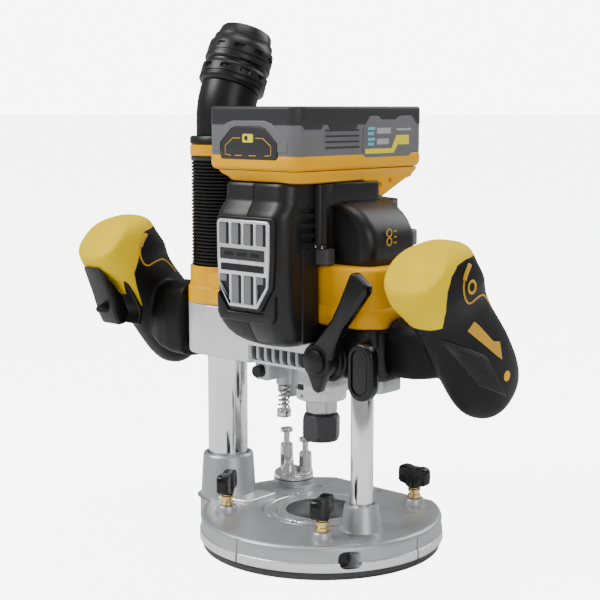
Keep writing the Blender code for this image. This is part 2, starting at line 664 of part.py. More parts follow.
def plunge_lever():
    pivot, end = LEVER, LEVER_END
    lean = atan2(end[1] - pivot[1], end[0] - pivot[0])
    along = (cos(lean), sin(lean))
    length = hypot(end[0] - pivot[0], end[1] - pivot[1])
    outline = []
    for reach, side in ((6, -9.0), (30, -7.0), (50, -8.6), (length - 2, -8.8), (length, -6.5),
                        (length + 1, 6.0), (length - 2, 8.4), (50, 6.5), (30, 6.0), (6, 9.0)):
        outline.append((pivot[0] + along[0] * reach - along[1] * side,
                        pivot[1] + along[1] * reach + along[0] * side))
    arm = bevel(prism("plunge_lever", outline, -54.0, -46.5, "black", "Y"), 1.5)
    pointer = [(pivot[0] + u, pivot[1] + v) for u, v in ((-8, -7), (8, -7), (5, -14), (1.5, -20), (-3, -18))]
    add(arm, rod("lever_disc", pivot, [(10.0, -55.0), (11.0, -54.0), (11.0, -45.5)], sides=28, axis="Y"),
        prism("lever_pointer", pointer, -53, -47, axis="Y"))
    cut(arm, rod("lever_bore", pivot, [(4.3, -60), (4.3, -40)], sides=16, axis="Y"))
    hinge_at(arm, (pivot[0], -46.0, pivot[1]))
    steps = [(7.0, -58.0), (7.6, -57.4), (7.6, -55.4), (4.0, -55.4), (4.0, -38.5)]
    rod("lever_bolt", pivot, steps, "dark_steel", 20, "Y")


def lock_paddle():
    outline = (arc((PADDLE[0], PADDLE[1] + 8.2), 9.8, 0, 180, 8)
               + arc((PADDLE[0], PADDLE[1] - 8.2), 9.8, 180, 360, 8))
    paddle = bevel(prism("lock_paddle", outline, -49.5, -41.5, "black", "Y"), 2.0)
    add(paddle, rod("paddle_shaft", PADDLE, [(3.0, -45), (3.0, -35)], sides=14, axis="Y"))
    return hinge_at(paddle, (PADDLE[0], -41.5, PADDLE[1]))


# ---- handles -------------------------------------------------------------------------------------


def handle_ring(x, y, z, tilt, wide, deep, count=20):
    """One soft-cornered ring of a handle; tilt is the slope of its fore-and-aft axis in degrees."""
    ring = []
    lean = radians(tilt)
    for i in range(count):
        turn = 2 * pi * i / count
        u = wide * soft(cos(turn))
        v = deep * soft(sin(turn))
        ring.append((x + u, y + v * cos(lean), z + v * sin(lean)))
    return ring


def soft(value):
    """Squares an ellipse off a little."""
    return abs(value) ** 0.85 * (1 if value > 0 else -1)


GRIP_RINGS = (
    (19.0, 113.0, 40, 7.0, 9.5), (17.0, 116.0, 39, 13.5, 17.0), (13.0, 121.5, 38, 17.8, 22.5),
    (6.0, 130.5, 37, 19.6, 25.3), (-4.0, 143.5, 36, 19.8, 26.0), (-18.0, 161.0, 33, 19.6, 26.0),
    (-30.0, 176.0, 26, 20.3, 27.5),
)
CAP_RINGS = (
    (-30.2, 176.4, 26, 20.3, 27.5), (-41.0, 188.0, 18, 21.5, 29.5), (-49.0, 198.0, 14, 21.5, 29.0),
    (-50.0, 206.0, 12, 20.0, 26.5), (-47.5, 212.5, 10, 14.5, 19.5), (-46.0, 215.8, 10, 6.5, 9.5),
)


def handles():
    arms = {
        "left": ((-140, -100.2), (-34, 8), (118, 168)),
        "right": ((RIGHT_END + GAP, 115), (-30, 8), (127, 163)),
    }
    for side, x in HANDLE_X.items():
        grip = loft(f"{side}_grip", [handle_ring(x, *ring) for ring in GRIP_RINGS], "soft_black")
        x_range, y_range, z_range = arms[side]
        arm = prism(f"{side}_arm", rounded_box(y_range, z_range, 8.0), *x_range, axis="X")
        add(grip, arm)
        cap = loft(f"{side}_cap", [handle_ring(x, *ring) for ring in CAP_RINGS], "yellow")
        if side == "left":
            pocket = [(-85, 180.5), (-50, 180.5), (-31, 168), (-19, 150), (-17, 134), (-30, 122), (-60, 118)]
            space = prism("trigger_space", pocket, x - 9.5, x + 9.5, axis="X")
            cut(grip, space)
            cut(cap, space)


def trigger():
    x = HANDLE_X["left"]
    outline = [(-66, 179), (-62.5, 166), (-57, 153), (-49, 141.5), (-40, 134), (-33, 131.5), (-29.5, 136),
               (-33, 148), (-40, 159), (-48, 170), (-52, 179)]
    lever = bevel(prism("trigger", outline, x - 8.5, x + 8.5, "black", "X"), 1.5)
    cut(lever, prism("lock_slot", box((x - 4.5, x + 4.5), (-75, -50)), 147, 159))
    hinge_at(lever, (x, -54.0, 176.0))
    outline = [(-69, 150.5), (-66, 148.4), (-52, 148.0), (-52, 154.5), (-66, 154.5), (-69, 153.2)]
    return prism("lock_off", outline, x - 4.0, x + 4.0, "grey", "X")


# ---- assembly ------------------------------------------------------------------------------------


def plunge_spring():
    return coil("plunge_spring", SMALL, 4.2, 0.9, 10.0, 207.5, 10, 7, 3, "steel")


def build():
    base_casting()
    sub_base()
    guide_insert()
    columns()
    fence_knobs()
    turret()
    depth_rod()
    bellows()
    dust_rings()
    dust_elbow()
    carriage_casting()
    motor_housing()
    lower_housing()
    bushes()
    upper_housing()
    speed_dial()
    front_cover()
    control_board()
    louvre_plate()
    nose_casting()
    spindle_lock()
    rod_guide()
    bumper()
    battery_foot()
    battery()
    motor()
    plunge_lever()
    lock_paddle()
    handles()
    trigger()
    plunge_spring()


clear_scene()
MATERIALS = {name: make_material(name) for name in COLOURS}
ROUTER = bpy.data.objects.new("router", None)
ROUTER.location = (SPINDLE[0] * MM, SPINDLE[1] * MM, 0.0)
bpy.context.collection.objects.link(ROUTER)
build()
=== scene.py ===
"""Looks of the plunge router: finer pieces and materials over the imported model.

Lengths are millimetres from the spindle axis and the floor, turned into metres in the shared frame as
each mesh is made. +X runs from the large column to the small one, and -Y is the front.
"""

from math import asin, atan2, cos, degrees, hypot, pi, radians, sin

import bmesh
import bpy
from mathutils import Matrix, Vector
from mathutils.bvhtree import BVHTree


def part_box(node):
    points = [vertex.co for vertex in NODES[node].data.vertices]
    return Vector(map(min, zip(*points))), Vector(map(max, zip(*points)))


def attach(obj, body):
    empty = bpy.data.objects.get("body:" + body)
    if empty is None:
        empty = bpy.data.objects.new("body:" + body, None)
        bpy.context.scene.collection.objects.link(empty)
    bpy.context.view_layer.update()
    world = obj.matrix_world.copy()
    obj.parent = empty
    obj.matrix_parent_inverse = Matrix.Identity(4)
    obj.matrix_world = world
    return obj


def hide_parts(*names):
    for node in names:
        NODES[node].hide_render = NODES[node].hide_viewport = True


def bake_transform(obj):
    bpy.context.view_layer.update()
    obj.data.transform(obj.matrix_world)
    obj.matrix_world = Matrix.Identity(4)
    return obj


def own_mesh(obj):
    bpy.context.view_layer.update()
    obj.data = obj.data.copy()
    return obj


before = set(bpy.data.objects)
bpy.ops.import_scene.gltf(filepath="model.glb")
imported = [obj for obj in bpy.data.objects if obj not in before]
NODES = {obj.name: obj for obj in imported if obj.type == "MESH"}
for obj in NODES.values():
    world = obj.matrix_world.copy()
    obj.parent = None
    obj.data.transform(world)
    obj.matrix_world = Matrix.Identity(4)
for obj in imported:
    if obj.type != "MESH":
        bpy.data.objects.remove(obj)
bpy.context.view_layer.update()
MM = 0.001


def middle(node):
    low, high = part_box(node)
    return ((low[0] + high[0]) / 2, (low[1] + high[1]) / 2)


AXIS = middle("collet_nut")


def local(node):
    """A node's box in millimetres from the spindle axis."""
    return [[(x - AXIS[0]) / MM, (y - AXIS[1]) / MM, z / MM] for x, y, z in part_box(node)]


def centre_of(node, other=1):
    """The middle of a node's box in X and in one other direction."""
    low, high = local(node)
    return ((low[0] + high[0]) / 2, (low[other] + high[other]) / 2)


LARGE = centre_of("left_column")
SMALL = centre_of("right_column")
TURRET = centre_of("turret_pivot_screw")
KNOBS = {side: centre_of(f"clamp_screw_{side}") for side in ("left", "front", "right")}
KNOB_TURN = {"left": 117, "front": 107, "right": 0}

# ---- materials ----

# name: colour, roughness, metal, record slot, and then grain size, grain depth, streak and shine
LOOKS = {
    "cast": ((0.50, 0.51, 0.52), 0.42, 0.80, "cast_metal", 700, 0.05, None, 0.5),
    "casing": ((0.82, 0.82, 0.83), 0.36, 0.45, "cast_metal", 1400, 0.02, None, 0.5),
    # edge: the bright machined band on the rim; on the duct roof the same bright metal is a painted highlight
    "edge": ((0.92, 0.92, 0.92), 0.24, 0.80, "cast_metal", 500, 0.01, (1, 1, 14), 0.5),
    "machined": ((0.78, 0.78, 0.79), 0.24, 1.00, "machined_metal", 450, 0.008, (1, 1, 12), 0.5),
    "louvre": ((0.78, 0.78, 0.80), 0.30, 0.55, "machined_metal", 900, 0.01, None, 0.5),
    # vane: the louvre metal darkened, painted shade on the slats seen through the windows
    "vane": ((0.22, 0.22, 0.23), 0.34, 0.40, "machined_metal", 900, 0.01, None, 0.5),
    "chrome": ((0.96, 0.96, 0.97), 0.12, 1.00, "chrome", 300, 0.0015, (1, 1, 20), 0.5),
    "steel": ((0.50, 0.50, 0.51), 0.25, 1.00, "steel", 500, 0.01, (1, 1, 16), 0.5),
    "dark_steel": ((0.050, 0.050, 0.053), 0.42, 0.30, "dark_steel", 900, 0.02, None, 0.5),
    "brass": ((0.85, 0.62, 0.25), 0.20, 1.00, "brass", 600, 0.01, (1, 1, 10), 0.5),
    "black": ((0.0060, 0.0060, 0.0065), 0.36, 0.00, "black_plastic", 1500, 0.035, None, 0.34),
    "satin_black": ((0.0095, 0.0095, 0.0105), 0.36, 0.00, "black_plastic", 1500, 0.02, None, 0.36),
    "gloss_black": ((0.0045, 0.0045, 0.005), 0.26, 0.00, "black_plastic", 900, 0.01, None, 0.38),
    "plate": ((0.055, 0.055, 0.058), 0.45, 0.00, "black_plastic", 1200, 0.02, None, 0.4),
    # bellows: the bellows rubber; the same near-black also fills the fence tunnels, the rail notch and the
    # space behind the side vents as painted shade
    "bellows": ((0.006, 0.006, 0.0065), 0.34, 0.00, "bellows_rubber", 1100, 0.02, None, 0.45),
    "rubber": ((0.0042, 0.0042, 0.0050), 0.46, 0.00, "soft_grip", 1700, 0.05, None, 0.19),
    "yellow": ((0.96, 0.45, 0.0), 0.36, 0.00, "yellow_plastic", 1300, 0.02, None, 0.16),
    # the handle caps' yellow: the same yellow plastic made paler and more lemon, painted top light on the
    # caps
    "cap_lit_yellow": ((0.86, 0.60, 0.0), 0.46, 0.00, "yellow_plastic", 1300, 0.02, None, 0.08),
    "line_yellow": ((0.62, 0.34, 0.015), 0.45, 0.00, "yellow_plastic", 1300, 0.02, None, 0.3),
    "dark_grey": ((0.030, 0.030, 0.032), 0.42, 0.00, "grey_plastic", 1200, 0.03, None, 0.35),
    "mid_grey": ((0.150, 0.150, 0.160), 0.42, 0.00, "grey_plastic", 1200, 0.03, None, 0.35),
    "print_blue": ((0.12, 0.55, 0.72), 0.40, 0.00, "grey_plastic", 800, 0.005, None, 0.4),
    "print_yellow": ((0.90, 0.76, 0.02), 0.40, 0.00, "grey_plastic", 800, 0.005, None, 0.4),
    "print_white": ((0.42, 0.42, 0.44), 0.40, 0.00, "grey_plastic", 800, 0.005, None, 0.4),
    "copper": ((0.60, 0.30, 0.15), 0.35, 1.00, "copper", 500, 0.05, (1, 1, 20), 0.5),
    "board": ((0.03, 0.20, 0.08), 0.45, 0.00, "circuit_board", 400, 0.02, None, 0.4),
}


def node_with(nodes, kind, **values):
    """A new shader node with these input values."""
    node = nodes.new(kind)
    for name, value in values.items():
        node.inputs[name].default_value = value
    return node


def tint_between(nodes, low, high):
    tint = nodes.new("ShaderNodeMix")
    tint.data_type = "RGBA"
    tint.inputs["A"].default_value = (*low, 1)
    tint.inputs["B"].default_value = (*high, 1)
    return tint


PATCH_SCALE, PATCH_SHARES = 45, (0.88, 1.1)
GLOSS_SHARES = (0.8, 1.2)


def make_look(name):
    """A procedural material: patchy colour, and a fine grain that may be drawn into streaks."""
    colour, rough, metal, _, grain, depth, streak, shine = LOOKS[name]
    material = bpy.data.materials.new(name)
    material.use_nodes = True
    nodes = material.node_tree.nodes
    links = material.node_tree.links
    shader = nodes["Principled BSDF"]
    shader.inputs["Metallic"].default_value = metal
    shader.inputs["Specular IOR Level"].default_value = shine
    where = nodes.new("ShaderNodeTexCoord")
    stretch = node_with(nodes, "ShaderNodeMapping", Scale=streak or (1, 1, 1))
    links.new(where.outputs["Object"], stretch.inputs["Vector"])
    patches = node_with(nodes, "ShaderNodeTexNoise", Scale=PATCH_SCALE, Detail=5)
    links.new(where.outputs["Object"], patches.inputs["Vector"])
    fine = node_with(nodes, "ShaderNodeTexNoise", Scale=grain, Detail=3)
    links.new(stretch.outputs["Vector"], fine.inputs["Vector"])
    tint = tint_between(nodes, *[[min(1, part * share) for part in colour] for share in PATCH_SHARES])
    links.new(patches.outputs["Fac"], tint.inputs["Factor"])
    links.new(tint.outputs["Result"], shader.inputs["Base Color"])
    gloss = nodes.new("ShaderNodeMapRange")
    for name, share in zip(("To Min", "To Max"), GLOSS_SHARES):
        gloss.inputs[name].default_value = rough * share
    links.new(fine.outputs["Fac"], gloss.inputs["Value"])
    links.new(gloss.outputs["Result"], shader.inputs["Roughness"])
    bump = node_with(nodes, "ShaderNodeBump", Distance=depth * MM)
    links.new(fine.outputs["Fac"], bump.inputs["Height"])
    links.new(bump.outputs["Normal"], shader.inputs["Normal"])
    return material


MATERIALS = {name: make_look(name) for name in LOOKS}

# ---- outlines ----


def arc(centre, radius, start, end, steps):
    points = []
    for i in range(steps + 1):
        turn = radians(start + (end - start) * i / steps)
        points.append((centre[0] + radius * cos(turn), centre[1] + radius * sin(turn)))
    return points


def circle(centre, radius, sides):
    return arc(centre, radius, 0, 360 - 360 / sides, sides - 1)


def rounded(x_range, y_range, radius, steps=6):
    """A rectangle with round corners, anticlockwise."""
    corners = (
        (x_range[1] - radius, y_range[1] - radius, 0),
        (x_range[0] + radius, y_range[1] - radius, 90),
        (x_range[0] + radius, y_range[0] + radius, 180),
        (x_range[1] - radius, y_range[0] + radius, 270),
    )
    points = []
    for x, y, start in corners:
        points += arc((x, y), radius, start, start + 90, steps)
    return points


RIM, FLAT_Y = 82.5, 69.5


def base_outline(radius):
    """The base's round outline with its flat back, drawn in from the rim."""
    edge = degrees(asin((FLAT_Y - (RIM - radius)) / radius))
    return arc((0, 0), radius, 180 - edge, 360 + edge, 140)


def mirrored(points, middle=0):
    """Half an outline, and then its mirror image on the way back."""
    return points + [(2 * middle - u, v) for u, v in reversed(points)]


def spline(rows, steps, closed=False):
    """A Catmull-Rom curve through rows of numbers, open or round and round."""
    def beyond(last, previous):
        return [2 * a - b for a, b in zip(last, previous)]

    rows = [list(row) for row in rows]
    if closed:
        ends = rows[-1:] + rows + rows[:2]
    else:
        ends = [beyond(rows[0], rows[1])] + rows + [beyond(rows[-1], rows[-2])]
    path = []
    for four in zip(ends, ends[1:], ends[2:], ends[3:]):
        for i in range(steps):
            t = i / steps
            path.append([0.5 * (2 * q + (r - p) * t + (2 * p - 5 * q + 4 * r - s) * t * t
                                + (3 * q - p - 3 * r + s) * t * t * t) for p, q, r, s in zip(*four)])
    return path if closed else path + rows[-1:]


# ---- meshes ----


TURNS = {
    "Z": lambda u, v, w: (u, v, w),
    "Y": lambda u, v, w: (u, w, v),
    "X": lambda u, v, w: (w, u, v),
}


def skin(rings, loop=False):
    """A mesh through rings of points, closed with flat ends, or joined last to first."""
    bm = bmesh.new()
    rows = [[bm.verts.new(point) for point in ring] for ring in rings]
    pairs = list(zip(rows, rows[1:]))
    if loop:
        pairs.append((rows[-1], rows[0]))
    for lower, upper in pairs:
        count = len(lower)
        for i in range(count):
            j = (i + 1) % count
            bm.faces.new((lower[i], lower[j], upper[j], upper[i]))
    if not loop:
        bm.faces.new(rows[0])
        bm.faces.new(rows[-1])
    return bm


def prism(outline, low, high, axis="Z"):
    turn = TURNS[axis]
    return skin([[turn(u, v, w) for u, v in outline] for w in (low, high)])


def turned(steps, centre=(0, 0), sides=72, axis="Z", loop=False):
    """A shape turned about an axis through centre, from (radius, height) pairs."""
    turn = TURNS[axis]
    rings = [[turn(u, v, height) for u, v in circle(centre, radius, sides)] for radius, height in steps]
    return skin(rings, loop)


def tube(steps, centre=(0, 0), sides=72, axis="Z"):
    """A turned shape with a hole, whose steps go round its wall."""
    return turned(steps, centre, sides, axis, loop=True)


def rod(radius, low, high, centre=(0, 0), sides=72, axis="Z"):
    return turned([(radius, low), (radius, high)], centre, sides, axis)


def slab(x_range, y_range, low, high, axis="Z"):
    (x0, x1), (y0, y1) = x_range, y_range
    return prism([(x0, y0), (x1, y0), (x1, y1), (x0, y1)], low, high, axis)


def sweep(path, radius, sides=8):
    """A round wire along a path."""
    path = [Vector(point) for point in path]
    rings = []
    side = None
    for i, point in enumerate(path):
        ahead = (path[min(i + 1, len(path) - 1)] - path[max(i - 1, 0)]).normalized()
        if side is None:
            side = ahead.orthogonal().normalized()
        side = (side - ahead * side.dot(ahead)).normalized()
        up = ahead.cross(side)
        rings.append([point + side * u + up * v for u, v in circle((0, 0), radius, sides)])
    return skin(rings)


def coil(centre, radius, low, high, turns, per_turn, wire):
    """A coil spring of round wire, upright."""
    path = []
    for i in range(turns * per_turn + 1):
        angle = 2 * pi * i / per_turn
        z = low + (high - low) * i / (turns * per_turn)
        path.append((centre[0] + radius * cos(angle), centre[1] + radius * sin(angle), z))
    return sweep(path, wire)


def merge(*parts):
    """Several meshes as one."""
    whole = bmesh.new()
    for part in parts:
        mesh = bpy.data.meshes.new("part")
        part.to_mesh(mesh)
        part.free()
        whole.from_mesh(mesh)
        bpy.data.meshes.remove(mesh)
    return whole


def turn_about(bm, centre, angle):
    """Turns a mesh about the vertical through centre."""
    bmesh.ops.rotate(bm, verts=bm.verts, cent=(*centre, 0), matrix=Matrix.Rotation(radians(angle), 3, "Z"))
    return bm


def new_object(name, bm):
    """Links a mesh drawn in local millimetres as an object in metres."""
    bmesh.ops.recalc_face_normals(bm, faces=bm.faces)
    bmesh.ops.scale(bm, vec=(MM, MM, MM), verts=bm.verts)
    bmesh.ops.translate(bm, vec=(AXIS[0], AXIS[1], 0), verts=bm.verts)
    mesh = bpy.data.meshes.new(name)
    bm.to_mesh(mesh)
    bm.free()
    obj = bpy.data.objects.new(name, mesh)
    bpy.context.collection.objects.link(obj)
    return obj


def bevel(obj, width, segments, angle):
    modifier = obj.modifiers.new("Bevel", "BEVEL")
    modifier.width = width * MM
    modifier.segments = segments
    modifier.limit_method = "ANGLE"
    modifier.angle_limit = radians(angle)
    modifier.use_clamp_overlap = True


def settle(obj, cutters=()):
    """Applies the modifiers, and drops the cutters."""
    bpy.context.view_layer.update()
    done = bpy.data.meshes.new_from_object(obj.evaluated_get(bpy.context.evaluated_depsgraph_get()))
    obj.modifiers.clear()
    obj.data = done
    for cutter in cutters:
        bpy.data.objects.remove(cutter, do_unlink=True)


def boolean(obj, cutters, operation):
    for cutter in cutters:
        modifier = obj.modifiers.new("Boolean", "BOOLEAN")
        modifier.operation = operation
        modifier.object = cutter
        modifier.solver = "EXACT"


def shape(name, bm, round_to=0, segments=4, angle=35, cuts=(), adds=(), edge=0):
    """An object from a mesh: rounded at its edges, added to, cut, and then lightly rounded again."""
    obj = new_object(name, bm)
    if round_to:
        bevel(obj, round_to, segments, angle)
    joined = [new_object(f"{name}_add", add) for add in adds]
    boolean(obj, joined, "UNION")
    cutters = [new_object(f"{name}_cut", cut) for cut in cuts]
    boolean(obj, cutters, "DIFFERENCE")
    if edge:
        bevel(obj, edge, 2, 50)
    if obj.modifiers:
        settle(obj, joined + cutters)
    return obj


def dress(obj, look, body, replaces=()):
    """Gives a finished object its material and body; a blended piece has no body of its own."""
    obj.data.materials.clear()
    obj.data.materials.append(MATERIALS[look])
    obj.data.shade_smooth()
    obj.data.set_sharp_from_angle(angle=radians(38))
    if body:
        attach(obj, body)
    if replaces:
        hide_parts(*replaces)
    return obj


def piece(name, bm, look, body="carriage", replaces=(), **finish):
    return dress(shape(name, bm, **finish), look, body, replaces)


def surface_of(obj):
    return BVHTree.FromObject(obj, bpy.context.evaluated_depsgraph_get())


def laid_on(tree, points, side, within=None):
    """Side-view points (y, z), dropped onto a surface along X and kept if they land within a range."""
    path = []
    for y, z in points:
        start = Vector((AXIS[0] + side, AXIS[1] + y * MM, z * MM))
        hit, _, _, _ = tree.ray_cast(start, Vector((-side, 0, 0)))
        if hit is None:
            continue
        x = (hit.x - AXIS[0]) / MM
        if within is None or within[0] < x < within[1]:
            path.append(Vector((x, y, z)))
    return path


# ---- base ----


def base():
    levels = ((81.2, 4.9), (81.6, 5.5), (81.6, 19.2), (81, 20.8), (79.6, 21.8), (77.6, 22))
    rings = [[(x, y, z) for x, y in base_outline(radius)] for radius, z in levels]
    cuts = [
        rod(30, 0, 30, sides=96),
        rod(39.9, 19.8, 30, sides=96),
        rod(2.2, 12, 30, (49, 27), 24),
        rod(2.4, 12, 30, (-37, 40), 24),
        rod(2.4, 12, 30, (2, 60), 24),
        slab((-0.7, 0.7), (-90, -81), 3, 30),
        prism([(90, -0.7), (90, 0.7), (81, 0.7), (81, -0.7)], 3, 30),
    ]
    cuts += fence_tunnels()
    lobe = turned([(20, 5.5), (20, 20.6), (18.6, 22.1)], LARGE, 64)
    piece("base_disc", skin(rings), "cast", "base", ("base_casting",), adds=[lobe], cuts=cuts, edge=0.5)
    # a near-black block fills each fence-rod tunnel a little inside its mouths: painted shade in the tunnel,
    # not a wall of the casting
    for name, y_range, low, high in (("front", (-53.7, -42.3), -60, 61), ("back", (44.3, 55.7), -50, 58)):
        wall = prism(rounded(y_range, (7.8, 18.2), 3.3), low, high, "X")
        piece(f"tunnel_{name}_wall", wall, "bellows", "base")
    notches = [slab((-0.7, 0.7), (-90, -76), 3, 30),
               prism([(90, -0.7), (90, 0.7), (76, 0.7), (76, -0.7)], 3, 30)]
    piece("rim_band", prism(base_outline(RIM), 5.2, 11.4), "edge", "base", round_to=0.7, segments=3,
          cuts=[prism(base_outline(80), 0, 20)] + fence_tunnels() + notches)


FENCE_RODS = (-48, 50)


def fence_tunnels():
    """The two tunnels for the rods of an edge fence, with room for the rods to go through."""
    return [prism(rounded((y - 6, y + 6), (7.5, 18.5), 3.6), -95, 95, "X") for y in FENCE_RODS]


def bosses():
    large = [(22, 21.9), (20, 22.5), (19.3, 24), (17.7, 50.8), (17, 52.4), (15.9, 53), (14.7, 53),
             (14.3, 52.4), (14.2, 40), (14.2, 22)]
    piece("large_boss", tube(large, LARGE, 96), "cast", "base")
    small = [(16, 21.9), (14.2, 22.4), (13.2, 24), (11.2, 37.8), (10.6, 39), (9.6, 39.4), (8.4, 39.4),
             (8, 38.8), (7.9, 30), (7.9, 22)]
    piece("small_boss", tube(small, SMALL, 72), "cast", "base")
    seat = [(16, 21.9), (14.8, 22.5), (14.4, 26), (4, 26), (4, 21.9)]
    piece("turret_seat", tube(seat, TURRET, 64), "cast", "base")
    for side, centre in KNOBS.items():
        steps = [(8.6, 21.9), (7.2, 22.4), (6.9, 25.8), (6, 27), (3.8, 27), (3.8, 21.9)]
        piece(f"knob_seat_{side}", tube(steps, centre, 48), "cast", "base")


def duct_hump():
    """The raised roof of the dust duct, from the large column to the middle, in the bright edge metal as a
    painted highlight along its ridges.
    """
    length = hypot(*LARGE)
    along = (LARGE[0] / length, LARGE[1] / length)
    across = (-along[1], along[0])
    outline = []
    for reach, side in ((41, -9), (62, -9), (74, 19), (46, 19)):
        outline.append([u * reach + v * side for u, v in zip(along, across)])
    # the bright edge look here is painted highlight, not a different finish
    piece("duct_roof", prism(outline, 21.5, 25.2), "edge", "base", round_to=1.2)


def insert():
    steps = [(24.2, 20.1), (39.5, 20.1), (39.5, 21.9), (38.9, 22.4), (36, 22.4), (35.6, 22), (34.6, 22),
             (34.2, 22.4), (29.4, 22.4), (28, 21.9), (26.4, 21.8), (25, 22.5), (24.2, 22.1)]
    cuts = []
    for angle in (40, 160, 280):
        centre = (36.4 * cos(radians(angle)), 36.4 * sin(radians(angle)))
        cuts.append(turned([(1.6, 20.8), (3, 22.9)], centre, 24))
        screw = turned([(1.4, 20.4), (1.5, 21.3), (2.5, 22), (2.3, 22.15)], centre, 24)
        slot = rounded((centre[0] - 1.4, centre[0] + 1.4), (centre[1] - 0.35, centre[1] + 0.35), 0.2, 2)
        piece(f"insert_screw_{angle}", screw, "steel", "base", cuts=[prism(slot, 21.5, 23)])
    piece("insert_ring", tube(steps, sides=120), "machined", "base", ("guide_insert",),
          cuts=cuts)


def sub_base():
    piece("sub_base_plate", prism(base_outline(80.5), 0, 4.6), "plate", "base", ("sub_base",), round_to=0.8,
          cuts=[rod(22, -5, 10)])


def columns():
    for node, name, centre, inner, outer, sides in (("left_column", "large_tube", LARGE, 12, 13.8, 128),
                                                    ("right_column", "small_tube", SMALL, 5.6, 7.4, 96)):
        low, high = (corner[2] for corner in local(node))
        top = outer - (0.3 if centre == LARGE else 0.2)
        steps = [(inner, low), (outer - 0.1, low), (outer, low + 0.3), (outer, high - 0.3), (top, high),
                 (inner, high)]
        piece(name, tube(steps, centre, sides), "chrome", "base", (node,))


def plunge_coil():
    """The spring inside the small column, which shortens as the carriage goes down."""
    low, high = local("plunge_spring")[0][2] + 1, local("plunge_spring")[1][2] - 1
    obj = piece("plunge_coil", coil(SMALL, 4.2, low, high, 24, 20, 0.8), "steel", None, ("plunge_spring",))
    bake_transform(obj)


def knobs():
    half = [(4.8, 34.6), (5.6, 36), (9.8, 36.8), (11.3, 38.4), (11.5, 44), (11.2, 47.2),
            (9.8, 49.2), (5.4, 49.4), (2.4, 48.6)]
    for side, centre in KNOBS.items():
        outline = [(centre[0] + u, v) for u, v in mirrored(half)]
        blade = turn_about(prism(outline, centre[1] - 4, centre[1] + 4, "Y"), centre, KNOB_TURN[side])
        hub = turned([(3.4, 34.3), (4.6, 34.6), (5.4, 40), (5, 47.4), (3.6, 48.4)], centre, 32)
        piece(f"wing_{side}", blade, "gloss_black", f"knob_{side}", (f"clamp_wing_{side}",), round_to=1.9,
              segments=5, angle=50)
        piece(f"wing_hub_{side}", hub, "gloss_black", f"knob_{side}")
        steps = [(2.4, 19.2), (3.1, 20.2), (3.1, 27.2), (4.4, 27.4), (4.4, 29.6), (3.4, 29.9), (3.4, 31.4),
                 (4.3, 31.7), (4.3, 33.4), (3.2, 33.8), (3.2, 34.4)]
        piece(f"brass_{side}", turned(steps, centre, 36), "brass", f"knob_{side}", (f"clamp_screw_{side}",))


# ---- depth stop ----


FIRST_STEP, STEP_R = -70.7, 8.5


def step_at(turn):
    """The middle of a turret step, this many degrees on from the first."""
    angle = radians(FIRST_STEP + turn)
    return (TURRET[0] + STEP_R * cos(angle), TURRET[1] + STEP_R * sin(angle))


def turret():
    steps = [(2.6, 26.3), (13.8, 26.3), (14.2, 26.8), (14.2, 29.4), (13.4, 31), (2.6, 31)]
    piece("turret_disc", tube(steps, TURRET, 72), "machined", "turret", ("turret_plate",),
          edge=0.3)
    cone = [(6.4, 30.6), (5.2, 32.4), (4.2, 36), (3.4, 38.6), (3.3, 41), (2.8, 41.5)]
    piece("turret_cone", turned(cone, step_at(0), 40), "machined", "turret")
    for name, turn, top, rise in (("short", 120, 55, 44.4), ("tall", 240, 61, 49.6)):
        centre = step_at(turn)
        post = [(2.6, 30.6), (5.6, 30.6), (4.9, 32.6), (4.6, rise - 1.4), (4.2, rise), (2.6, rise)]
        slot = rounded((centre[0] - 1.3, centre[0] + 1.3), (33.5, 42), 1.2, 4)
        piece(f"post_{name}", tube(post, centre, 40), "machined", "turret", edge=0.2,
              cuts=[prism(slot, centre[1] - 9, centre[1], "Y")])
        screw = [(2.3, 33.6), (2.3, top - 3.4), (4.2, top - 3), (4.6, top - 2.4), (4.6, top - 0.5),
                 (4.1, top)]
        groove = slab((centre[0] - 6, centre[0] + 6), (centre[1] - 0.6, centre[1] + 0.6), top - 1.4, top + 2)
        piece(f"stop_{name}", turned(screw, centre, 36), "machined", "turret", (f"stop_screw_{name}",),
              cuts=[groove])


WHEEL_SIDES = 96


def depth_knob():
    """The knurled wheel at the back, with the pinion that drives the rod."""
    centre = centre_of("depth_knob", 2)
    outline = []
    for i, (u, v) in enumerate(circle((0, 0), 1, WHEEL_SIDES)):
        radius = 11 if i % 4 < 2 else 10.2
        outline.append((centre[0] + radius * u, centre[1] + radius * v))
    piece("depth_wheel", prism(outline, 39.5, 51.4, "Y"), "black", "rod_knob", ("depth_knob",), edge=0.5)
    piece("depth_pinion", turned([(5.8, 24), (5.8, 32), (2.5, 32), (2.5, 39.8)], centre, 32, "Y"), "steel",
          "rod_knob")


# ---- dust tower ----


def bellows():
    low, high = local("bellows")[0][2], local("bellows")[1][2]
    pleats = 32
    pitch = (high - low - 3) / pleats
    outer = [(19.5, low)]
    for i in range(pleats):
        z = low + 1.5 + pitch * i
        outer += [(22.4, z), (23.2, z + pitch * 0.14), (23.9, z + pitch * 0.34), (23.9, z + pitch * 0.62),
                  (23.2, z + pitch * 0.82)]
    outer += [(21.2, high - 1.5), (19.5, high)]
    pleated = tube(outer + [(18.4, high), (18.4, low)], LARGE, 72)
    obj = piece("bellows_skin", pleated, "bellows", None, ("bellows",))
    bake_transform(obj)
    piece("bellows_top_cuff", tube([(21.4, high - 3.4), (23.6, high - 3), (24, high - 2.4), (24, high),
                                      (21.4, high)], LARGE, 72), "bellows", "base")


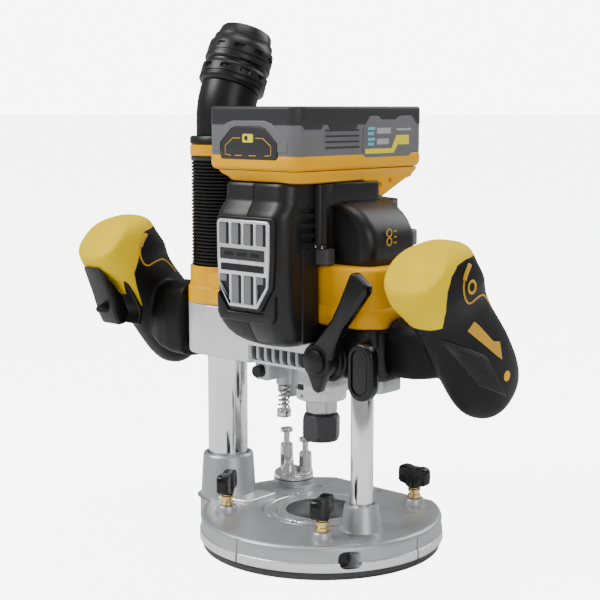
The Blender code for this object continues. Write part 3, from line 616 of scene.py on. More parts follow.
def dust_rings():
    ring = [(14.3, 260), (24, 260), (24.5, 260.5), (24.5, 266.8), (24, 267.4), (14.3, 267.4)]
    piece("tower_ring", tube(ring, LARGE, 96), "yellow", "base", ("dust_ring",))
    cap = [(16.2, 267.8), (24, 267.8), (24.5, 268.3), (24.5, 272), (23.6, 273.2), (21.4, 273.4),
           (16.2, 273.4)]
    piece("tower_cap", tube(cap, LARGE, 96), "satin_black", "base", ("dust_cap",))


# the elbow's foot stands at ELBOW_LOW; it runs STRAIGHT up, and then bends by LEAN
LEAN, BEND_R, ELBOW_LOW, STRAIGHT = radians(23), 45, 273.7, 10.3


ELBOW_SIDES = 120


def elbow_ring(length, radius):
    """A ring around the elbow's centre line, this far from its foot; radius may depend on the angle."""
    turn = min(max(length - STRAIGHT, 0) / BEND_R, LEAN)
    rest = max(0, length - STRAIGHT - BEND_R * LEAN)
    y = BEND_R * (1 - cos(turn)) + rest * sin(turn)
    z = ELBOW_LOW + min(length, STRAIGHT) + BEND_R * sin(turn) + rest * cos(turn)
    ring = []
    for i in range(ELBOW_SIDES):
        angle = 2 * pi * i / ELBOW_SIDES
        reach = radius(i) if callable(radius) else radius
        u, v = reach * cos(angle), reach * sin(angle)
        ring.append((LARGE[0] + u, LARGE[1] + y + v * cos(turn), z - v * sin(turn)))
    return ring


def notched(outer, inner, first):
    """A radius that drops to inner in windows spaced around the ring."""
    return lambda i: inner if (i + first) % 12 in (1, 2, 3, 4, 5) else outer


def elbow():
    outer = [(0, 20)] + [(s, 20) for s in range(3, 30, 2)] + [(30.5, 20), (30.5, 17.6), (62, 17.6)]
    inner = [(s, 15.5) for s in range(0, 63, 5)] + [(62, 15.5)]
    rings = [elbow_ring(*step) for step in outer + inner[::-1]]
    piece("elbow_pipe", skin(rings, loop=True), "black", "elbow", ("dust_elbow",))
    low, high = notched(22.9, 21.3, 0), notched(22.6, 21, 7)
    steps = [(30.9, 20.2), (31.4, 21.2), (32.2, 22.2), (33.2, 22.9), (35, 22.9), (35.6, 22.3), (36.6, 22.2),
             (37, 22.9), (38.6, 22.9), (38.7, low), (41.6, low), (41.7, 22.9), (43.4, 22.8), (44.4, 22),
             (45, 21), (46.4, 21), (47, 22), (48, 22.8), (50.4, 22.8), (51, 22.2), (52, 22.1),
             (52.4, 22.6), (54, 22.6), (54.1, high), (57, high), (57.1, 22.5), (60, 22.2), (61.4, 21.2),
             (62.4, 20.6), (65.6, 20.2), (66.6, 18.9), (72.2, 17.6), (73, 16.9)]
    inner = [(30.9, 18), (63, 18), (63.2, 14.5), (73, 14.5)]
    rings = [elbow_ring(*step) for step in steps + inner[::-1]]
    piece("hose_end", skin(rings, loop=True), "satin_black", "hose_collar", ("dust_collar",))


# ---- carriage ----

FRONT_Y = -42.2
MOTOR_ROOM = 36


def band_room():
    """Room in the yellow band for the large column and the motor."""
    return [rod(14.8, 150, 190, LARGE, 64), rod(MOTOR_ROOM, 150, 210)]


def small_room(radius):
    """Room in the carriage for the small column."""
    return rod(radius, 100, 210, SMALL, 48)


def back_arc(radius, start, end):
    return arc((0, 0), radius, start, end, 24)


def casting():
    outline = [(-73, FRONT_Y), (26.7, FRONT_Y), (26.7, 30)] + back_arc(42, 50, 125)
    outline += [(-34, 38), (-72.5, 38), (-76, 34), (-76, 10)]
    guide = turned([(24.6, 125), (25.8, 125.6), (26.4, 127), (26.5, 160)], LARGE, 96)
    cuts = [
        rod(14.4, 100, 200, LARGE, 64),
        rod(MOTOR_ROOM, 130, 200),
        rod(14, 100, 140, sides=48),
        rod(3.4, 100, 200, centre_of("depth_rod"), 24),
        slab((-27.5, 22.5), (-50, -37.2), 100, 137.5),
    ]
    piece("carriage_body", prism(outline, 125, 160), "casing", "carriage", ("carriage_casting",), round_to=2,
          adds=[guide], cuts=cuts, edge=0.4)
    for i in range(8):
        x = -27.6 + 6.9 * i
        side = [(-42, 138.5), (-42, 131)] + arc((-38.6, 130.6), 3.4, 180, 270, 5) + [(-30, 126), (-30, 138.5)]
        piece(f"fin_{i}", prism(side, x, x + 2.6, "X"), "cast", round_to=0.7, segments=3)
    piece("fin_shadow", slab((-27, 22), (-37.6, -33), 127, 137), "black")


def yellow_band():
    ring = [(14.8, 160.4), (26.5, 160.4), (26.5, 170), (26, 171.4), (25.4, 172), (25.2, 172.8),
            (25.2, 184.6), (24.9, 185.4), (24.1, 185.6), (24.1, 182.3), (14.8, 182.2)]
    piece("band_ring", tube(ring, LARGE, 96), "yellow")
    main = [(-76, FRONT_Y + 0.6), (31.5, FRONT_Y + 0.6), (31.5, 28)] + back_arc(42, 45, 138)
    main += [(-44, 14), (-76, 10)]
    piece("band_low", prism(main, 160.4, 171.5), "yellow", "carriage", ("motor_housing",), round_to=1.6,
          cuts=band_room())
    upper = [(-74.5, FRONT_Y + 2), (31.5, FRONT_Y + 2), (31.5, 27)] + back_arc(41, 45, 138)
    upper += [(-44, 13), (-74, 9)]
    piece("band_mid", prism(upper, 171, 182.2), "yellow", round_to=1.6, cuts=band_room())
    top = [(-31, FRONT_Y + 0.6), (31.5, FRONT_Y + 0.6), (31.5, 28)] + back_arc(42, 45, 141)
    piece("band_top", prism(top, 180, 195), "yellow", round_to=1, cuts=[rod(MOTOR_ROOM, 150, 210)])
    right_block()


def right_outline(inset=0):
    return ([(27, -41.8 + inset)] + arc((63, -25.8), 16 - inset, -90, -20, 12)
            + [(79 - inset, -16), (79 - inset, 10 - inset)] + [(66, 20 - inset), (27, 24 - inset)])


def right_block():
    piece("band_right", prism(right_outline(1.6), 168, 195), "yellow", round_to=2.4, cuts=[small_room(8.7)])
    steps = ((2.2, 157.4), (0.6, 158.4), (0, 160.2), (0, 167), (0.5, 169.2), (1.8, 170.8), (3.4, 171.4))
    rings = [[(x, y, z) for x, y in right_outline(inset)] for inset, z in steps]
    piece("band_ledge", skin(rings), "yellow", cuts=[small_room(8.7)])


def lower_block():
    outline = [(27, -38)] + arc((67, -26), 12, -90, 0, 10) + [(79, 8), (62, 18), (27, 24)]
    cuts = [small_room(9.8), rod(MOTOR_ROOM, 130, 170)]
    piece("black_block", prism(outline, 125, 157), "satin_black", "carriage", ("lower_housing",),
          round_to=2.2, cuts=cuts)
    box = [(46, -39.6), (70, -39.6)] + arc((70, -33.6), 6, -90, 0, 8) + [(76, -20), (46, -20)]
    piece("block_brow", prism(box, 146.5, 157.1), "satin_black", round_to=2.6, segments=5,
          cuts=[small_room(9.8)])
    for i in range(6):
        rib = slab((78.6, 80.2), (-24 + 4.4 * i, -21.6 + 4.4 * i), 127, 145)
        piece(f"block_rib_{i}", rib, "black", round_to=0.5)
    boss = [(14.4, -36), (14.4, -40.6), (12.9, -41.1), (12.7, -43.6), (11.4, -44.2), (4.6, -44.2)]
    piece("lever_seat", turned(boss, LEVER, 64, "Y"), "satin_black",
          cuts=[rod(4.3, -50, -30, LEVER, 24, "Y")])
    piece("block_foot", prism(rounded((52, 74), (-30, -6), 5), 116, 125.4), "cast", round_to=1.5,
          cuts=[small_room(9.8)])


# z, and the right-hand edge there
DRUM_LEVELS = (
    (195.4, 66), (206, 66), (212, 65.4), (217, 63.8), (221.5, 61), (225.5, 57.4), (229, 53),
    (231.6, 48.6), (233.2, 45), (233.8, 43),
)


def upper_block():
    rings = []
    for z, right in DRUM_LEVELS:
        ring = [(-31, FRONT_Y + 0.6), (35.5, FRONT_Y + 0.6), (36, -31)]
        ring += arc((right - 9, -22), 9, -90, 0, 10) + arc((right - 9, 10), 9, 0, 60, 6) + [(43, 26)]
        ring += back_arc(42, 52, 141)
        rings.append([(x, y, z) for x, y in ring])
    hollow = [rod(MOTOR_ROOM, 190, 231), small_room(8.9)]
    piece("drum", skin(rings), "satin_black", "carriage", ("upper_housing",), cuts=hollow, edge=0.6)
    neck = [(-29, FRONT_Y + 0.6), (34, FRONT_Y + 0.6), (40, -36)] + arc((36, 2), 8, 0, 80, 6)
    neck += [(26, 22), (-29, 22)]
    piece("neck_block", prism(neck, 231.4, 246), "satin_black", round_to=1.5,
          cuts=[rod(11.3, 225, 241, sides=48)])
    rail = [(33.2, -45.2), (37.6, -44.8), (37.6, -41), (33.2, -41)]
    piece("rail", prism(rail, 203, 245.5), "dark_grey", round_to=1)
    # a near-black block in the notch beside the rail: painted shade in the gap
    gap = [(37.8, -42.6), (40, -41.6), (40, -38), (37.8, -38)]
    piece("rail_gap_shade", prism(gap, 203, 245.5), "bellows")
    rail_foot = [(33.6, -46), (42.6, -43.6), (42.6, -36), (33.6, -36)]
    piece("rail_foot", prism(rail_foot, 195.4, 205.5), "plate", round_to=1.2)
    dial_icon()
    for x in (33.6, 39):
        pin = turned([(1, -46), (1.4, -45.6), (1.4, -42)], (x, 206.8), 20, "Y")
        piece(f"rail_pin_{x:.0f}", pin, "steel")


def dial_icon():
    """Plain yellow printed marks by the speed dial: two rings and three ticks."""
    for z in (209.6, 215):
        ring = [(1.9, 65.8), (2.8, 65.8), (2.8, 66.12), (1.9, 66.12)]
        piece(f"mark_ring_{z:.0f}", tube(ring, (-12, z), 28, "X"), "line_yellow")
    for i in range(3):
        z = 208.6 + 3.6 * i
        tick = slab((-7.4, -4.8), (z - 0.4, z + 0.5), 65.8, 66.1, "X")
        piece(f"mark_tick_{i}", tick, "line_yellow")


# z, and the left, right and front edges there
COVER_LEVELS = (
    (143.6, -6, 24, -60), (146, -12, 29, -65.5), (149, -17, 32, -69),
    (153, -21.5, 33.6, -71.5), (158, -23.8, 34, -74.2), (166, -24, 34, -76.3),
    (200, -24, 34, -76.5), (224.5, -24, 34, -76.5), (227.5, -24, 34, -75.6),
    (230.5, -23.8, 34, -73.8), (234, -23, 34, -71.2), (236, -22.6, 34, -70.4),
    (244, -22.4, 34, -70.2), (246, -21.6, 33.4, -69.4),
)


def cover():
    """The cover of the electronics: every level is a rectangle with two broad front corners."""
    rings = []
    for z, left, right, front in COVER_LEVELS:
        ring = arc((right - 12, front + 12), 12, 0, -90, 10)[::-1]
        ring = arc((left + 8, front + 8), 8, 180, 270, 8) + ring
        rings.append([(x, y, z) for x, y in [(left, -42.5)] + ring + [(right, -42.5)]])
    cuts = [slab((4.7, 5.2), (-90, -60), 130, 260)]
    for i in range(4):
        z = 209.5 + 6 * i
        cuts.append(prism(rounded((-58.5, -43), (z, z + 3), 0.8, 3), 31.5, 40, "X"))
    piece("cover_shell", skin(rings), "satin_black", "carriage", ("front_cover",), cuts=cuts, edge=0.4)
    shadow = prism(rounded((-59, -43.2), (208.8, 231.2), 0.8, 3), 31.6, 32.4, "X")
    piece("vent_shadow", shadow, "bellows")
    side_plate = prism(rounded((-58, -42.7), (147, 206.5), 2, 4), 33, 34.9, "X")
    piece("cover_side_plate", side_plate, "satin_black", round_to=0.8)
    piece("cover_frame", prism(plate_outline(2.2), -78.6, -75.5, "Y"), "satin_black", round_to=1.2)
    chin = mirrored([(PLATE_X + 22, 160.5), (PLATE_X + 24.4, 165), (PLATE_X + 24.4, 178),
                     (PLATE_X + 15, 166.2)], PLATE_X)
    piece("cover_chin", prism(chin, -78.2, -74.5, "Y"), "satin_black", round_to=1)


PLATE_X = 5  # the middle of the front plate


def plate_outline(grow=0):
    half = [(12 + grow * 0.6, 169.7 - grow), (20.8 + grow, 183), (22 + grow, 200),
            (22.2 + grow, 221.4), (21.6 + grow, 223.2 + grow), (19.8 + grow, 224 + grow)]
    return mirrored([(PLATE_X + x, z) for x, z in half], PLATE_X)


VANE = ((0.1, -79.9), (0.7, -79.9), (4.6, -78.8), (4.6, -78.2), (0.1, -78.2))


def vane(x, low, high):
    """A slanting slat behind an opening whose left edge is at x."""
    return prism([(x + u, v) for u, v in VANE], low, high)


def louvre():
    """The front plate: four windows above, two and two corners below, and a plain badge between."""
    cuts = []
    # each window has a slanting vane behind it in the darker vane grey: painted shade on the same metal as
    # the frame
    for i in range(4):
        x = PLATE_X - 20 + 10.5 * i
        cuts.append(prism(rounded((x, x + 8.6), (208.4, 222), 1, 3), -90, -70, "Y"))
        piece(f"vane_{i}_208", vane(x, 208, 222.4), "vane")
        if 0 < i < 3:
            cuts.append(prism(rounded((x, x + 8.6), (171.8, 189.8), 0.9, 3), -90, -70, "Y"))
            piece(f"vane_{i}_172", vane(x, 171.6, 190), "vane")
    for side in (-1, 1):
        corner = [(side * 20, 189.8), (side * 20, 184.2), (side * 11.4, 171.8), (side * 11.4, 189.8)]
        cuts.append(prism([(PLATE_X + u, v) for u, v in corner], -90, -70, "Y"))
        x = PLATE_X + (-20 if side < 0 else 11.5)
        piece(f"vane_corner_{side + 1}", vane(x, 185, 190), "vane")
    piece("louvre_frame", prism(plate_outline(), -80.5, -78.3, "Y"), "louvre", "carriage", ("louvre_plate",),
          round_to=0.9, cuts=cuts, edge=0.3)
    # a gloss-black sheet just behind the windows: painted shade seen through the openings
    piece("louvre_back", prism(plate_outline(-0.8), -78.7, -78.3, "Y"), "gloss_black")
    badge = rounded((PLATE_X - 18.8, PLATE_X + 18.8), (199.2, 206.2), 0.5, 2)
    piece("badge_upper", prism(badge, -80.8, -80.3, "Y"), "dark_grey")
    for i in range(3):
        bar = rounded((PLATE_X - 15 + 11 * i, PLATE_X - 7 + 11 * i), (201.6, 203.8), 0.4, 2)
        piece(f"badge_bar_{i}", prism(bar, -80.9, -80.6, "Y"), "gloss_black")
    badge = rounded((PLATE_X - 18.2, PLATE_X + 18.4), (192.2, 196.6), 0.5, 2)
    piece("badge_lower", prism(badge, -80.8, -80.3, "Y"), "gloss_black")


def nose():
    steps = [(9, 99), (16.2, 99), (16.9, 99.8), (17, 105.2), (17.6, 106), (20.4, 106.4), (20.8, 107.2),
             (20.8, 112.6), (20.2, 113.4), (20.2, 124.9), (13.4, 124.9), (13.4, 107.5), (9, 107.5)]
    turn = radians(222)
    flat = []
    for reach, side in ((16, -30), (40, -30), (40, 30), (16, 30)):
        flat.append((cos(turn) * reach - sin(turn) * side, sin(turn) * reach + cos(turn) * side))
    cuts = [prism(flat, 106, 130), slab((-4.5, 2.5), (-40, -15), 107.4, 111.6),
            rod(1.6, -24, -12, (-3, 102.4), 20, "Y")]
    piece("nose_body", tube(steps, sides=96), "casing", "carriage", ("nose_casting",), cuts=cuts, edge=0.4)
    piece("nose_window", slab((-4.6, 2.6), (-18.6, -14.4), 107.3, 111.7), "gloss_black")
    lug = prism(rounded((-31.5, -18.5), (-33, -13), 3), 112.8, 126)
    piece("lock_lug", lug, "cast", round_to=1,
          cuts=[rod(4.4, -45, -15.5, centre_of("spindle_lock", 2), 32, "Y")])


def collet():
    outline = circle((0, 0), 13.3, 6)
    cone_top = turned([(11.2, 70.5), (13.4, 74.2), (13.4, 85), (11.4, 88.3)], sides=96)
    nut = shape("nut", prism(outline, 67, 89))
    limit = new_object("nut_limit", cone_top)
    boolean(nut, [limit], "INTERSECT")
    bore = new_object("nut_bore", rod(8.3, 60, 95, sides=48))
    boolean(nut, [bore], "DIFFERENCE")
    bevel(nut, 0.5, 3, 30)
    settle(nut, [limit, bore])
    dress(nut, "dark_steel", "spindle", ("collet_nut",))
    flange = [(6.4, 88.5), (9.2, 88.5), (10.4, 89.6), (10.7, 91), (10.7, 98.7), (6.4, 98.7)]
    piece("spindle_flange", tube(flange), "steel", "spindle")


def bumper():
    centre = centre_of("bumper_screw")
    steps = [(3, 79.3), (4.6, 79.6), (5, 80.4), (5, 84.4), (4.6, 85), (1.8, 85.2), (1.8, 113)]
    slot = slab((centre[0] - 6, centre[0] + 6), (centre[1] - 0.7, centre[1] + 0.7), 78, 80.6)
    piece("bumper_bolt", turned(steps, centre, 40), "machined", "bumper", ("bumper_screw",), cuts=[slot])
    spring = piece("bumper_coil", coil(centre, 3.6, 86, 102, 5, 24, 0.7), "steel", "carriage",
                   ("bumper_spring",))
    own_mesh(spring)


# ---- battery ----


def battery():
    x0, y0, _ = local("battery_base")[0]
    x1, y1, top = local("battery_case")[1]
    base_ring = rounded((x0, x1), (y0, y1), 9)
    piece("pack_base", prism(base_ring, 253.9, 265), "yellow", "battery", ("battery_base",), round_to=4,
          segments=5, cuts=[release_space(y0)])
    band = rounded((x0 + 0.3, x1 - 0.3), (y0 + 0.3, y1 - 0.3), 8.7)
    piece("pack_band", prism(band, 263, 283), "mid_grey", "battery", ("battery_case",), round_to=0.6,
          cuts=[release_space(y0)])
    piece("pack_lid", prism(base_ring, 280.6, top), "dark_grey", "battery", round_to=2, segments=5,
          cuts=[release_space(y0)])
    for i, (a, b) in enumerate(((-70, -49), (-47, -16))):
        skirt = [(a, 283), (a + 3, 279), (b - 3, 279), (b, 283)]
        for far, x in (("", x1 - 2), ("far_", x0)):
            piece(f"lid_skirt_{far}{i}", prism(skirt, x, x + 2, "X"), "dark_grey", "battery", round_to=0.5)
    end_panel(y0)
    side_details(x0, x1)


ARCH_X, ARCH_Z = 5.6, 269.2


def arch_outline(grow=1, lowest=0):
    """The arched outline of the release button, grown about its middle and cut off below a height."""
    half = [(22.5, -8.4), (23.9, -6.8), (23.9, 1.6), (14.5, 10.2), (10, 11.4)]
    return mirrored([(ARCH_X + x * grow, max(lowest, ARCH_Z + z * grow)) for x, z in half], ARCH_X)


def release_space(y0):
    return prism(arch_outline(1.02), y0 - 2, y0 + 6.5, "Y")


def end_panel(y0):
    """The release button at the pack's front end, in an arched frame with a plain outline."""
    piece("arch_rim", prism(arch_outline(1.34, 265.2), y0 - 0.3, y0 + 2, "Y"), "mid_grey", "battery",
          round_to=0.9, cuts=[release_space(y0)])
    piece("arch_panel", prism(arch_outline(), y0 - 0.5, y0 + 2.5, "Y"), "dark_grey", "release",
          ("battery_release",), round_to=0.6)
    left = [(-0.9, 273.6), (-7.1, 273.6), (-13.7, 269), (-13.7, 263.6), (-8.9, 263)]
    right = [(2 * ARCH_X - x, z) for x, z in left]
    for name, half in (("left", left), ("right", right)):
        path = [(x, y0 - 0.5, z) for x, z in half]
        piece(f"arch_line_{name}", sweep(path, 0.32, 6), "line_yellow", "release")
    for name, x in (("left", -5.4), ("right", 6.6)):
        dash = [(x, y0 - 0.5, 263), (x + 6, y0 - 0.5, 263)]
        piece(f"arch_dash_{name}", sweep(dash, 0.32, 6), "line_yellow", "release")
    mark = prism(rounded((1.1, 10.1), (271, 276.2), 1, 3), y0 - 0.7, y0 - 0.1, "Y")
    window = prism(rounded((2.7, 5.7), (272.2, 275), 0.6, 2), y0 - 1, y0 + 1, "Y")
    piece("arch_mark", mark, "print_yellow", "release", round_to=0.1, cuts=[window])


LABEL_BARS = (
    ("bar_a", -8, -2, 268.4, 270.2, "blue"), ("bar_b", -8, -1, 271.4, 273.2, "blue"),
    ("bar_c", -8, -2, 275, 276.8, "blue"), ("bar_d", -8, -1, 278.2, 280, "blue"),
    ("bar_e", 1, 13, 269, 272.6, "white"), ("bar_f", 1, 15, 275.8, 279.4, "white"),
    ("bar_g", 21, 36, 277.6, 279, "white"),
)


def side_details(x0, x1):
    """Grooves, drawn as thin dark strips that paint their shade, and a label with plain bars on both long
    sides.
    """
    # each groove is a thin dark strip standing proud of the band: painted shade, with no cut
    for i in range(4):
        z = 267.4 + 3.5 * i
        for x in (x0, x1):
            outline = rounded((-48.5, -16.5), (z, z + 0.9), 0.4, 2)
            piece(f"groove_{i}_{x:.0f}", prism(outline, x - 0.25, x + 0.25, "X"), "dark_grey", "battery")
    for x, sign in ((x1, 1), (x0, -1)):
        face = x + sign * 0.1
        shield = [(-10, 261), (34, 261), (42, 266), (44, 280), (37, 287), (24, 287), (20, 284.6), (6, 284.6),
                  (2, 287), (-6, 287), (-12, 280), (-13, 265)]
        tag = "right" if sign > 0 else "left"
        piece(f"label_{tag}", prism(shield, x - sign * 1, face, "X"), "mid_grey", "battery", round_to=0.3)
        stripe = [(-10.5, 263.4), (18, 263.4), (22.5, 268.6), (34, 268.6), (34, 274.6), (21, 274.6),
                  (16, 266.4), (-10.5, 266.4)]
        prints = [("stripe", stripe, "print_yellow")]
        for name, y0, y1, z0, z1, colour in LABEL_BARS:
            prints.append((name, [(y0, z0), (y1, z0), (y1, z1), (y0, z1)], f"print_{colour}"))
        for name, outline, look in prints:
            mark = prism(outline, face - sign * 0.2, face + sign * 0.06, "X")
            piece(f"{name}_{tag}", mark, look, "battery")


def foot():
    """The yellow foot that the battery slides on."""
    rings = []
    for inset, z in ((10, 246.3), (7.6, 247.2), (6.4, 249.4), (4, 251.6), (3, 253.7)):
        outline = rounded((-32 + inset * 1.5, 45 - inset * 0.6), (-75 + inset, 52 - inset * 0.6), 7)
        rings.append([(x, y, z) for x, y in outline])
    piece("foot_plate", skin(rings), "yellow", "carriage", ("battery_foot",))
    gusset = [(-8, 247.5), (-6, 250), (48, 253), (46, 249.5), (12, 235), (8, 236.4)]
    holes = [rod(1.6, 39, 45, centre, 20, "X") for centre in ((10, 243.2), (20, 245.6))]
    piece("foot_gusset", prism(gusset, 30, 41, "X"), "yellow", round_to=2.2, segments=4, cuts=holes)


# ---- controls ----

LEVER = (41.5, 136.5)
LEVER_END = (76, 190.5)
PADDLE = (73, 133)


def lever():
    lean = atan2(LEVER_END[1] - LEVER[1], LEVER_END[0] - LEVER[0])
    length = hypot(LEVER_END[0] - LEVER[0], LEVER_END[1] - LEVER[1])

    def outline(points):
        return [(LEVER[0] + cos(lean) * reach - sin(lean) * side,
                 LEVER[1] + sin(lean) * reach + cos(lean) * side) for reach, side in points]

    arm = outline(((4, -8.6), (30, -5.6), (42, -7.4), (length - 3, -8.8), (length, -6.5), (length + 1, 6),
                   (length - 2, 8), (42, 5.4), (30, 4.6), (4, 8.6)))
    disc = turned([(8, -54.2), (10.4, -53.8), (11, -53), (11, -45.5)], LEVER, 64, "Y")
    tail = ((-8.5, -6), (8.5, -6), (5, -13), (2, -20), (-2.5, -19))
    pointer = prism([(LEVER[0] + u, LEVER[1] + v) for u, v in tail], -53.4, -46.6, "Y")
    piece("lever_arm", prism(arm, -53.6, -46.5, "Y"), "gloss_black", "lever", ("plunge_lever",), round_to=2,
          segments=5, cuts=[rod(4.3, -60, -40, LEVER, 32, "Y")])
    piece("lever_pointer", pointer, "gloss_black", "lever", round_to=1.4)
    piece("lever_hub", disc, "black", "lever", cuts=[rod(4.3, -60, -40, LEVER, 32, "Y")])
    bolt = [(7, -56.8), (7.8, -56.2), (8, -55.4), (8, -54.5), (4, -54.5), (4, -38.5)]
    piece("lever_cap", turned(bolt, LEVER, 48, "Y"), "black", "carriage", ("lever_bolt",))


PADDLE_REACH = 8.2


def oval(half_width):
    """Two half circles, one above the other, joined by straight sides."""
    return (arc((PADDLE[0], PADDLE[1] + PADDLE_REACH), half_width, 0, 180, 16)
            + arc((PADDLE[0], PADDLE[1] - PADDLE_REACH), half_width, 180, 360, 16))


def paddle():
    piece("paddle_rim", prism(oval(9.8), -49.5, -41.5, "Y"), "gloss_black", "paddle", ("lock_paddle",),
          round_to=2, segments=5, cuts=[prism(oval(6.4), -60, -48.2, "Y")])
    piece("paddle_face", prism(oval(5.6), -48.9, -47.5, "Y"), "satin_black", "paddle", round_to=0.5)


# ---- handles ----

HANDLE_X = {"left": -150, "right": 125}
HANDLE_HALF = 20
# y, z, tilt, half width and half depth
HANDLE_RINGS = (
    (19.5, 112, 40, 7, 9), (17.5, 114.6, 40, 13.4, 16.6), (13.6, 120, 39, 17.4, 22.2),
    (6.5, 129.5, 38, 19.4, 25.2), (-4, 143.5, 36, 19.8, 26), (-12.5, 154, 34, 19.4, 25.6),
    (-21.5, 165, 31, 18.8, 25), (-30, 175, 26, 18.8, 25.4), (-37, 182.6, 21, 20.3, 27.6),
    (-42, 188.4, 18, 21.6, 29.4), (-47.6, 197, 14, 21.6, 28.8), (-49.8, 204, 12, 20.8, 26.6),
    (-49, 209, 11, 18.4, 23), (-47.6, 212.6, 10, 14, 17.6), (-46.4, 214.8, 10, 8.6, 11),
    (-46, 215.6, 10, 3.5, 5),
)


def soft(value, power):
    """A power that keeps the sign, for corners between round and square."""
    return abs(value) ** power * (1 if value > 0 else -1)


FACE_POINT, FACE_TURN, FACE_KEEP = (-72, 191.5), radians(48), 0.15


def flattened(y, z):
    """Presses what stands above the cap's slanted palm face down towards it."""
    out = (-sin(FACE_TURN), cos(FACE_TURN))
    above = (y - FACE_POINT[0]) * out[0] + (z - FACE_POINT[1]) * out[1]
    press = max(0, above) * (1 - FACE_KEEP)
    return (y - out[0] * press, z - out[1] * press)


GRIP_SIDES = 72


def handle_mesh(x):
    """A leaning grip, squarer towards its top."""
    rings = []
    for y, z, tilt, wide, deep in spline(HANDLE_RINGS, 4):
        ring = []
        power = 0.86 - 0.2 * min(1, max(0, (z - 165) / 20))
        for i in range(GRIP_SIDES):
            turn = 2 * pi * i / GRIP_SIDES
            u = wide * soft(cos(turn), power)
            v = deep * soft(sin(turn), power)
            ring.append((x + u, *flattened(y + v * cos(radians(tilt)), z + v * sin(radians(tilt)))))
        rings.append(ring)
    return skin(rings)


CAP_EDGE = {
    "left": [(-14, 214), (-28, 209), (-41, 206), (-46, 198), (-47, 190), (-49, 183), (-50, 177), (-44, 165),
             (-37.4, 153), (-36.6, 145), (-40, 136.5), (-50, 132.5), (-60, 131), (-110, 130), (-110, 240),
             (-14, 240)],
    "right": [(-14, 214), (-28, 209), (-43, 207), (-51, 204.5), (-57.5, 198.5), (-60.5, 190), (-60, 183),
              (-57, 175), (-53, 168), (-56, 165), (-64, 163.5), (-110, 163.5), (-110, 240), (-14, 240)],
}


VOXEL, BLUR = 1.3, 6


def fillet_union(name, bm, arm):
    """Grip and arm melted together with a soft fillet."""
    obj = new_object(name, merge(bm, arm))
    remesh = obj.modifiers.new("Remesh", "REMESH")
    remesh.mode = "VOXEL"
    remesh.voxel_size = VOXEL * MM
    blur = obj.modifiers.new("Smooth", "SMOOTH")
    blur.factor = 0.5
    blur.iterations = BLUR
    settle(obj)
    return obj


# side: where the arm starts and ends along X, and its outline in (y, z)
ARMS = {
    "left": ((-146, -100.2), [
        (-30, 120), (-8, 118), (4, 124), (8, 140), (4, 156), (-6, 168), (-20, 172), (-32, 166), (-35, 148),
        (-34, 130)]),
    "right": ((79.6, 121), [
        (-26, 128), (-6, 127), (6, 132), (9, 145), (5, 158), (-8, 164), (-24, 164), (-31, 156), (-31, 136)]),
}


ARM_Y, ARM_Z = -13, 146
ARM_TAPER = ((0, 1), (0.35, 0.98), (0.6, 0.9), (0.8, 0.76), (1, 0.5))


def copy_of(obj):
    twin = obj.copy()
    twin.data = obj.data.copy()
    bpy.context.collection.objects.link(twin)
    return twin


def handle(side):
    x = HANDLE_X[side]
    span, outline = ARMS[side]
    rings = []
    inner, outer = sorted(span, key=abs)
    for share, size in ARM_TAPER:
        reach = inner + (outer - inner) * share
        rings.append([(reach, ARM_Y + (y - ARM_Y) * size, ARM_Z + (z - ARM_Z) * size)
                      for y, z in spline(outline, 5, closed=True)])
    whole = fillet_union(f"{side}_body", handle_mesh(x), skin(rings))
    cap = copy_of(whole)
    limit = new_object("cap_limit", prism(CAP_EDGE[side], x - 60, x + 60, "X"))
    for part, operation in ((cap, "INTERSECT"), (whole, "DIFFERENCE")):
        boolean(part, [limit], operation)
    cutters = [limit]
    if side == "left":
        pocket = new_object("pocket", prism(POCKET, x - 40, x + 40, "X"))
        boolean(cap, [pocket], "DIFFERENCE")
        boolean(whole, [pocket], "DIFFERENCE")
        cutters.append(pocket)
    for part in (cap, whole):
        bevel(part, 0.6, 2, 60)
    settle(cap)
    settle(whole, cutters)
    whole.name, cap.name = f"{side}_grip_body", f"{side}_cap_shell"
    dress(whole, "rubber", "carriage", (f"{side}_grip",))
    # the caps wear the paler yellow as painted top light
    dress(cap, "cap_lit_yellow", "carriage", (f"{side}_cap",))
    decorate(side, x, whole)


POCKET = [(-110, 184), (-76, 183), (-67, 178.5), (-56.5, 171), (-48, 160.5), (-41, 150), (-41, 146),
          (-44.5, 140.4), (-60, 136.8), (-110, 134)]


SWIRL = [(-40, 204), (-45, 198), (-46.5, 191), (-44, 185), (-38, 181.5), (-30, 184), (-22, 184.5),
         (-13, 179.5), (-7, 174)]
SCREW = (-38, 191)
LABEL = [(-36, 165), (-31, 170), (-26, 167), (-12, 156), (-5, 155), (-3, 144), (-7, 146), (-33, 163)]


RIBS = 18


